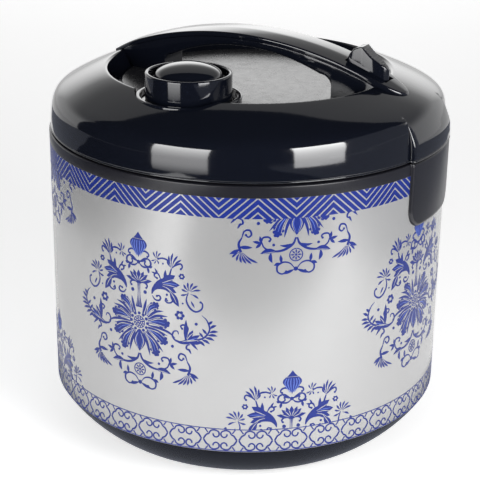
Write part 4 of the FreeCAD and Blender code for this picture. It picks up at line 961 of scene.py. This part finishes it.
vent_dome += [Vector((DOME_RADIUS, CAP_FLOOR + 0.4))] + crown + [Vector((AXIS, DOME_TOP))]
build("vent_cap_dome", *lathe(vent_dome, VENT_PLACE, VENT_COLUMNS), black_gloss, "vent_cap", "black_gloss",
      "vent_dome")

# Handle: an arched strip from the hinge side to the latch side, leaf-shaped from above.
# A lower moulding stands in the dish on two feet, and a cap snaps over it along a fine parting line.

HANDLE_TOP = 283.0
HANDLE_ARCH = 245.0
HANDLE_FRONT = 115.0
HANDLE_REAR = 106.0
CAP_SKIN = 4.0
TONGUE_BACK = -70
TONGUE_HALF = 15.5
POINT_FRONT = 62


def arch(along, drop):
    """The height of the handle's arch at a place along it, some depth below its top."""
    return HANDLE_TOP - HANDLE_ARCH + math.sqrt((HANDLE_ARCH - drop) ** 2 - along ** 2)


def leaf_half(along):
    """Half the handle's width at a place along it: a round tongue in front and a point behind."""
    if along < TONGUE_BACK:
        share = min(1, (TONGUE_BACK - along) / (HANDLE_FRONT + TONGUE_BACK))
        half = TONGUE_HALF * math.sqrt(max(0, 1 - share ** 2.3))
    elif along > POINT_FRONT:
        half = math.sqrt(76 ** 2 - (along - 64.5) ** 2) - 63.7
    else:
        half = 13.9 - 1.6 * (along + 4) / 66 + 1.8 * (1 - ((along + 4) / 66) ** 2)
    return half


def loft(rings):
    """Faces that join rings of the same count of points, closed at both ends."""
    count = len(rings[0])
    points = [point for ring in rings for point in ring]
    faces = []
    for number in range(len(rings) - 1):
        here = number * count
        for index in range(count):
            after = (index + 1) % count
            faces.append((here + index, here + after, here + count + after, here + count + index))
    faces.append(tuple(range(count)))
    faces.append(tuple(reversed(range(len(points) - count, len(points)))))
    return points, faces


def along_handle(front, rear, steps):
    """Places along the handle, crowded at both tips."""
    middle = (rear - front) / 2
    return [front + middle * (1 - math.cos(math.pi * step / steps)) for step in range(steps + 1)]


def cap_ring(along):
    """The section of the handle's cap at a place along it, crowned and thinner towards the rear tip."""
    half = max(0.25, leaf_half(along))
    skin = CAP_SKIN * (0.5 + 0.5 * math.sin(math.pi / 2 * min(1, (HANDLE_REAR - along) / 26)))
    skin -= 1.4 * (1 - math.sqrt(1 - (1 - min(1, (along + HANDLE_FRONT) / 1.4)) ** 2))
    low = arch(along, CAP_SKIN)
    crown = 0.045 * half
    edge = min(1.3, half * 0.5, skin * 0.4)
    section = rounded([(-half + 0.35, low, 0), (half - 0.35, low, 0), (half, low + 0.4, 0),
                       (half, low + skin - crown, edge), (0, low + skin, half * 3),
                       (-half, low + skin - crown, edge), (-half, low + 0.4, 0)], 8)
    return [(across, along, up) for across, up in section]


cap_rings = [cap_ring(along) for along in along_handle(-HANDLE_FRONT, HANDLE_REAR, 110)]
cap = build("handle_top_cap", *loft(cap_rings), black_gloss, "lid", "black_gloss", "handle_cap")
GRIP_FRONT = 67.3
GRIP_REAR = 59.0
GRIP_BOW = 135.0
GRIP_TOP = 273.9
GRIP_SHIFT = 3.5
GRIP_CORNER = 9.0
REAR_CORNER = 5.0
FEET_LOW = DISH_FLOOR - 1


def grip(along):
    """The height of the handle's underside between its feet."""
    return GRIP_TOP - GRIP_BOW + math.sqrt(GRIP_BOW ** 2 - (along + GRIP_SHIFT) ** 2)


def base_ring(along, low):
    """The section of the handle's lower moulding at a place along it, down to some height."""
    high = arch(along, CAP_SKIN) - 0.15
    half = max(0.3, leaf_half(along) - 0.25)
    low = min(low, high - 0.8)
    soft = min(2.2, half * 0.6, (high - low) * 0.45)
    section = rounded([(-half, high, min(0.5, half * 0.5)), (-half, low, soft), (half, low, soft),
                       (half, high, min(0.5, half * 0.5))], 6)
    return [(across, along, up) for across, up in section]


underside = [(-108, 250), (-104, 246)] + [(-100 + 3.2 * step, FEET_LOW) for step in range(10)]
underside += [(-GRIP_FRONT, FEET_LOW)]
corner_top = grip(-GRIP_FRONT + GRIP_CORNER)
for step in range(9):
    angle = math.pi / 2 * step / 8
    underside.append((-GRIP_FRONT + GRIP_CORNER * (1 - math.cos(angle)),
                      corner_top - GRIP_CORNER * (1 - math.sin(angle))))
underside += [(along, grip(along)) for along in (-55 + 4 * step for step in range(28))]
rear_top = grip(GRIP_REAR - REAR_CORNER)
for step in range(7):
    angle = math.pi / 2 * step / 6
    underside.append((GRIP_REAR - REAR_CORNER * (1 - math.sin(angle)),
                      rear_top - REAR_CORNER * (1 - math.cos(angle))))
underside += [(GRIP_REAR + 4 * step, FEET_LOW) for step in range(8)]
underside += [(90, 250), (96, 252)]
grip_body = build("handle_grip", *loft([base_ring(*spot) for spot in underside]), black_gloss, "lid",
                  "black_gloss", "handle_base")
SLOT = ((-6.6, -101.9, 252.5), (6.6, -72.4, 300))
for piece in (cap, grip_body, lid):
    cut_out(piece, cutter(*SLOT))

# Release trigger: a glossy wedge in a slot of the handle, with a ribbed grey pad in its thumb scoop.
# Pressing it swings the latch hook clear of the keeper below.

TRIGGER_HALF = 6.0
TRIGGER_REAR = -74.2
TRIGGER_FRONT = -101.2
TRIGGER_PEAK = 281.2
TRIGGER_LOW = 257.0
TRIGGER_ROUND = 9.8
SCOOP = Vector((-122.15, 315.04))
SCOOP_RADIUS = 51.0
PEAK_PLACE = TRIGGER_REAR - TRIGGER_ROUND


def roof(along):
    """The height of the trigger's top: a round back, then the hollow for the thumb."""
    if along > PEAK_PLACE:
        rise = math.sqrt(max(0, TRIGGER_ROUND ** 2 - (along - PEAK_PLACE) ** 2))
        return TRIGGER_PEAK - TRIGGER_ROUND + rise
    return SCOOP.y - math.sqrt(SCOOP_RADIUS ** 2 - (along - SCOOP.x) ** 2)


def trigger_half(along):
    """Half the trigger's width: straight behind its peak, then drawn in to a round front."""
    share = max(0, PEAK_PLACE - along) / (PEAK_PLACE - TRIGGER_FRONT)
    return TRIGGER_HALF * math.sqrt(max(0.0004, 1 - share ** 2.2))


def trigger_ring(along):
    """The trigger's section at a place along it, with its front edge eased."""
    half = trigger_half(along)
    top = roof(along) - 1.6 * max(0, (TRIGGER_FRONT + 2.5 - along) / 2.5) ** 2
    edge = min(0.9, half * 0.5)
    section = rounded([(-half, TRIGGER_LOW, 0), (half, TRIGGER_LOW, 0), (half, top, edge),
                       (-half, top, edge)])
    return [(across, along, up) for across, up in section]


places = [PEAK_PLACE + TRIGGER_ROUND * math.cos(math.pi / 2 * step / 14) for step in range(14)]
places += [PEAK_PLACE + (TRIGGER_FRONT - PEAK_PLACE) * math.sin(math.pi / 2 * step / 30)
           for step in range(31)]
build("trigger_wedge", *loft([trigger_ring(along) for along in places]), black_gloss, "release_button",
      "black_gloss", "release_button")
pad_grey = finish("pad_grey", (0.02, 0.02, 0.024), 0.34, grain=0.0004, dent=0.2)
PAD_STEPS = 56
PAD_RIBS = 7
PAD_FIRST = 43.6
PAD_SPAN = 17.4
PAD_EDGE = 0.25
pad_rings = []
for step in range(PAD_STEPS + 1):
    angle = math.radians(PAD_FIRST + PAD_SPAN * step / PAD_STEPS)
    low = SCOOP_RADIUS + 0.4
    high = SCOOP_RADIUS - 0.32 - 0.12 * math.cos(math.tau * PAD_RIBS * step / PAD_STEPS)
    half = trigger_half(SCOOP.x + low * math.cos(angle)) - 1.0
    section = ((-half, low), (half, low), (half, high + PAD_EDGE), (half - PAD_EDGE, high), (0, high),
               (-half + PAD_EDGE, high), (-half, high + PAD_EDGE))
    pad_rings.append([(across, SCOOP.x + reach * math.cos(angle), SCOOP.y - reach * math.sin(angle))
                      for across, reach in section])
build("trigger_thumb_pad", *loft(pad_rings), pad_grey, "release_button", "pad_grey", "trigger_pad")

# Springs: two coils of round steel wire, one under the latch's arm and one under the thermostat's cap.
# Each stands loose in its seat, under the piece that comes down on it.

COIL_STEPS = 48
WIRE_SIDES = 12


def coil(node, wire, turns):
    """Points and faces of a coil of round wire that fills a node's box."""
    low, high = sizes(node)
    middle = (low + high) / 2
    radius = (high.x - low.x) / 2 - wire
    rings = []
    for step in range(COIL_STEPS * turns + 1):
        angle = math.tau * step / COIL_STEPS
        out = Vector((math.cos(angle), math.sin(angle), 0))
        height = low.z + wire + (high.z - low.z - 2 * wire) * step / (COIL_STEPS * turns)
        spot = Vector((middle.x, middle.y, height)) + out * radius
        rings.append([spot + wire * (out * math.cos(side) + Vector((0, 0, math.sin(side))))
                      for side in (math.tau * number / WIRE_SIDES for number in range(WIRE_SIDES))])
    return loft(rings)


for name, node, body, joint, wire, turns, travel in (
    ("latch_coil", "latch_spring", "lid", "release_press", 0.4, 2, 3.95),
    ("thermostat_coil", "thermostat_spring", "body", "thermostat_press", 0.6, 6, 3.05),
):
    spring = build(name, *coil(node, wire, turns), plain_steel, body, "steel", node)
    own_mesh(spring)

# Underside of the lid: satin liner, pressed inner plate, silicone gasket and the hinge bracket.
# They close the lid from below and are seen only when it stands open.

seal_silicone = finish("seal_silicone", (0.55, 0.55, 0.54), 0.6, grain=0.0006, dent=0.15)
dress(seal_silicone, "lid_gasket", "plate_knob", "vent_seal")
dress(black_satin, "lid_liner", "lid_hinge_bracket", "latch_hook")

# Studio: a white floor under an even white surround, with the lamps and screens of a product table.
# Two oblong lamps stand beside the camera and a broad soft one behind the cooker.
# Dark and grey cloths, seen only in reflections, keep the gloss black; a grey disc under the cooker is
# painted shade, the floor's shadow in those reflections.

FLOOR_HALF = 6.0
CAMERA_PLACE = Vector((-831.9, -414.8, 491.65)) * MM
LIT_PLACE = Vector((0, 0, 0.22))
toward_camera = Vector((CAMERA_PLACE.x, CAMERA_PLACE.y, 0)).normalized()
to_the_right = Vector((-toward_camera.y, toward_camera.x, 0))


def staged(name, places, material, seen=True):
    """A flat sheet of the studio inside some places, hidden from all but reflections when it isn't seen."""
    mesh = bpy.data.meshes.new(name)
    mesh.from_pydata(places, [], [range(len(places))])
    mesh.materials.append(material)
    sheet = bpy.data.objects.new(name, mesh)
    bpy.context.scene.collection.objects.link(sheet)
    sheet.visible_camera = seen
    sheet.visible_diffuse = seen
    sheet.visible_shadow = seen
    sheet.visible_transmission = seen


def spot_at(near, right, high):
    """A place in the studio: towards the camera, to its right, and above the floor."""
    return toward_camera * near + to_the_right * right + Vector((0, 0, high))


def square(*corners):
    """The places of some corners in the studio."""
    return [spot_at(*corner) for corner in corners]


def between(tree, share, low, high):
    """A number that goes from low to high with a share."""
    span = tree.nodes.new("ShaderNodeMapRange")
    span.inputs["To Min"].default_value = low
    span.inputs["To Max"].default_value = high
    tree.links.new(share, span.inputs["Value"])
    return span.outputs["Result"]


def lamp(name, azimuth, elevation, distance, wide, tall, glow, foot=1.0, soft=False):
    """An oblong lamp that faces the cooker, with its glow and the share of it that its foot gives."""
    light = bpy.data.lights.new(name, "AREA")
    light.use_nodes = True
    tree = light.node_tree
    place = tree.nodes.new("ShaderNodeNewGeometry")
    parts = tree.nodes.new("ShaderNodeSeparateXYZ")
    tree.links.new(place.outputs["Parametric"], parts.inputs["Vector"])
    share = between(tree, parts.outputs["Y"], foot, 1)
    if soft:
        for axis in ("X", "Y"):
            for low, high in ((0, 2), (2, 0)):
                ramp = tree.nodes.new("ShaderNodeMath")
                ramp.operation = "MULTIPLY"
                tree.links.new(between(tree, parts.outputs[axis], low, high), ramp.inputs[0])
                tree.links.new(share, ramp.inputs[1])
                share = ramp.outputs["Value"]
    tree.links.new(share, tree.nodes["Emission"].inputs["Strength"])
    light.shape = "RECTANGLE"
    light.size = wide
    light.size_y = tall
    light.energy = glow * math.pi * wide * tall
    lamp_object = bpy.data.objects.new(name, light)
    bpy.context.scene.collection.objects.link(lamp_object)
    turn = math.radians(azimuth)
    rise = math.radians(elevation)
    away = (toward_camera * math.cos(turn) + to_the_right * math.sin(turn)) * math.cos(rise)
    away += Vector((0, 0, math.sin(rise)))
    lamp_object.location = LIT_PLACE + away * distance
    lamp_object.rotation_euler = away.to_track_quat("Z", "Y").to_euler()


def glowing(name, colour, strength):
    """An even glow."""
    material = bpy.data.materials.new(name)
    material.use_nodes = True
    tree = material.node_tree
    tree.nodes.remove(tree.nodes["Principled BSDF"])
    glow = tree.nodes.new("ShaderNodeEmission")
    glow.inputs["Color"].default_value = (*colour, 1)
    glow.inputs["Strength"].default_value = strength
    tree.links.new(glow.outputs["Emission"], tree.nodes["Material Output"].inputs["Surface"])
    return material


def seen_rays(tree):
    """One for rays that look at a thing, straight or by reflection, and nought for those that light it."""
    path = tree.nodes.new("ShaderNodeLightPath")
    seen = path.outputs["Is Camera Ray"]
    for kind in ("Is Glossy Ray", "Is Transmission Ray"):
        either = tree.nodes.new("ShaderNodeMath")
        either.operation = "MAXIMUM"
        tree.links.new(seen, either.inputs[0])
        tree.links.new(path.outputs[kind], either.inputs[1])
        seen = either.outputs["Value"]
    return seen


FLOOR_LIFT = 0.54
floor_paint = finish("floor_paint", (0.9, 0.9, 0.9), 0.7, mottle=0.005)
paint_tree = floor_paint.node_tree
paint = paint_tree.nodes["Principled BSDF"]
paint.inputs["Emission Color"].default_value = (1, 1, 1, 1)
floor_lift = between(paint_tree, seen_rays(paint_tree), 0, FLOOR_LIFT)
paint_tree.links.new(floor_lift, paint.inputs["Emission Strength"])
staged("floor", square((-FLOOR_HALF, -FLOOR_HALF, 0), (-FLOOR_HALF, FLOOR_HALF, 0),
                       (FLOOR_HALF, FLOOR_HALF, 0), (FLOOR_HALF, -FLOOR_HALF, 0)), floor_paint)
dark_cloth = glowing("dark_cloth", (0.9, 1, 1.3), 0.02)
half_cloth = glowing("half_cloth", (0.94, 1, 1.18), 0.2)
TABLE_NEAR = 0.40
TABLE_LEFT = -0.52
TABLE_RIGHT = 0.46
PAINTED_SHADE_RADIUS = 0.19
CLOTH = 0.004
screens = (
    ("front_cloth", dark_cloth, (
        (TABLE_NEAR, -0.31, CLOTH), (TABLE_NEAR, TABLE_RIGHT, CLOTH), (3, TABLE_RIGHT, CLOTH),
        (3, TABLE_LEFT, CLOTH), (0.72, TABLE_LEFT, CLOTH), (0.66, -0.31, CLOTH))),
    ("left_cloth", dark_cloth, (
        (-0.2, -2.5, CLOTH), (-0.2, TABLE_LEFT, CLOTH), (3, TABLE_LEFT, CLOTH), (3, -2.5, CLOTH))),
    ("left_rear_cloth", half_cloth, (
        (-0.9, -2.5, CLOTH), (-0.9, -0.45, CLOTH), (-0.2, -0.45, CLOTH), (-0.2, -2.5, CLOTH))),
    ("right_cloth", half_cloth, (
        (-0.9, 2.5, CLOTH), (-0.9, TABLE_RIGHT, CLOTH), (3, TABLE_RIGHT, CLOTH), (3, 2.5, CLOTH))),
    # Painted shade: the grey disc under the cooker, seen only in reflections, stands in for the floor's
    # shadow round the base that the floor's lift washes out.
    ("painted_shade_disc", half_cloth, [(PAINTED_SHADE_RADIUS * math.cos(turn), PAINTED_SHADE_RADIUS * math.sin(turn), 0.0005)
                         for turn in (math.tau * step / 48 for step in range(48))]),
    ("front_screen", dark_cloth, ((2.6, -3, 0), (2.6, 3, 0), (2.6, 3, 3), (2.6, -3, 3))),
    ("top_screen", dark_cloth, ((-1.2, -3, 2.2), (-1.2, 3, 2.2), (3, 3, 2.2), (3, -3, 2.2))),
    ("left_screen", dark_cloth, ((-0.9, -2.6, 0), (3, -2.6, 0), (3, -2.6, 2.4), (-0.9, -2.6, 2.4))),
    ("right_screen", half_cloth, ((-0.6, 2.6, 0), (3, 2.6, 0), (3, 2.6, 2.4), (-0.6, 2.6, 2.4))),
)
for name, cloth, corners in screens:
    staged(name, square(*corners), cloth, seen=False)
lamp("left_lamp", -35, 4, 0.85, 0.46, 0.55, 9.5, 0.08)
lamp("right_lamp", 37, 10, 0.85, 0.42, 0.46, 15.0, 0.3)
lamp("back_lamp", 180, 13, 2.0, 2.6, 0.8, 1.4, soft=True)

world = bpy.data.worlds.new("studio")
bpy.context.scene.world = world
world.use_nodes = True
sky_tree = world.node_tree
background = sky_tree.nodes["Background"]
background.inputs["Color"].default_value = (1, 1, 1, 1)
place = sky_tree.nodes.new("ShaderNodeTexCoord")
parts = sky_tree.nodes.new("ShaderNodeSeparateXYZ")
sky_tree.links.new(place.outputs["Generated"], parts.inputs["Vector"])
fade = sky_tree.nodes.new("ShaderNodeMapRange")
fade.interpolation_type = "SMOOTHSTEP"
for socket, value in (("From Min", 0.24), ("From Max", 0.52), ("To Min", 1), ("To Max", 0.34)):
    fade.inputs[socket].default_value = value
sky_tree.links.new(parts.outputs["Z"], fade.inputs["Value"])
path = sky_tree.nodes.new("ShaderNodeLightPath")
mirrored_sky = sky_tree.nodes.new("ShaderNodeMix")
sky_tree.links.new(path.outputs["Is Glossy Ray"], mirrored_sky.inputs["Factor"])
sky_tree.links.new(between(sky_tree, seen_rays(sky_tree), 0.24, 1), mirrored_sky.inputs["A"])
sky_tree.links.new(fade.outputs["Result"], mirrored_sky.inputs["B"])
sky_tree.links.new(mirrored_sky.outputs["Result"], background.inputs["Strength"])

# Camera: the place, tilt and lens of the photograph, looking down on the lid from the front left.
# Its pitch, yaw and roll were found by fitting the drum's outline.

VIEW_AZIMUTH = math.radians(-63.5)
PITCH = 0.3709
YAW = -0.0050
ROLL = -0.0137
forward = Vector((math.sin(YAW) * math.cos(PITCH), math.cos(YAW) * math.cos(PITCH), -math.sin(PITCH)))
level = Vector((math.cos(YAW), -math.sin(YAW), 0))
down = forward.cross(level)
right = level * math.cos(ROLL) + down * math.sin(ROLL)
up = level * math.sin(ROLL) - down * math.cos(ROLL)
axes = Matrix((right, up, -forward)).transposed()
turn = Matrix.Rotation(VIEW_AZIMUTH, 3, "Z")
camera_data = bpy.data.cameras.new("camera")
camera_data.sensor_width = 36
camera_data.lens = 105.06
camera_data.clip_end = 50
camera = bpy.data.objects.new("camera", camera_data)
bpy.context.scene.collection.objects.link(camera)
camera.matrix_world = Matrix.Translation(CAMERA_PLACE) @ (turn @ axes).to_4x4()
bpy.context.scene.camera = camera
bpy.context.scene.view_settings.view_transform = "Standard"
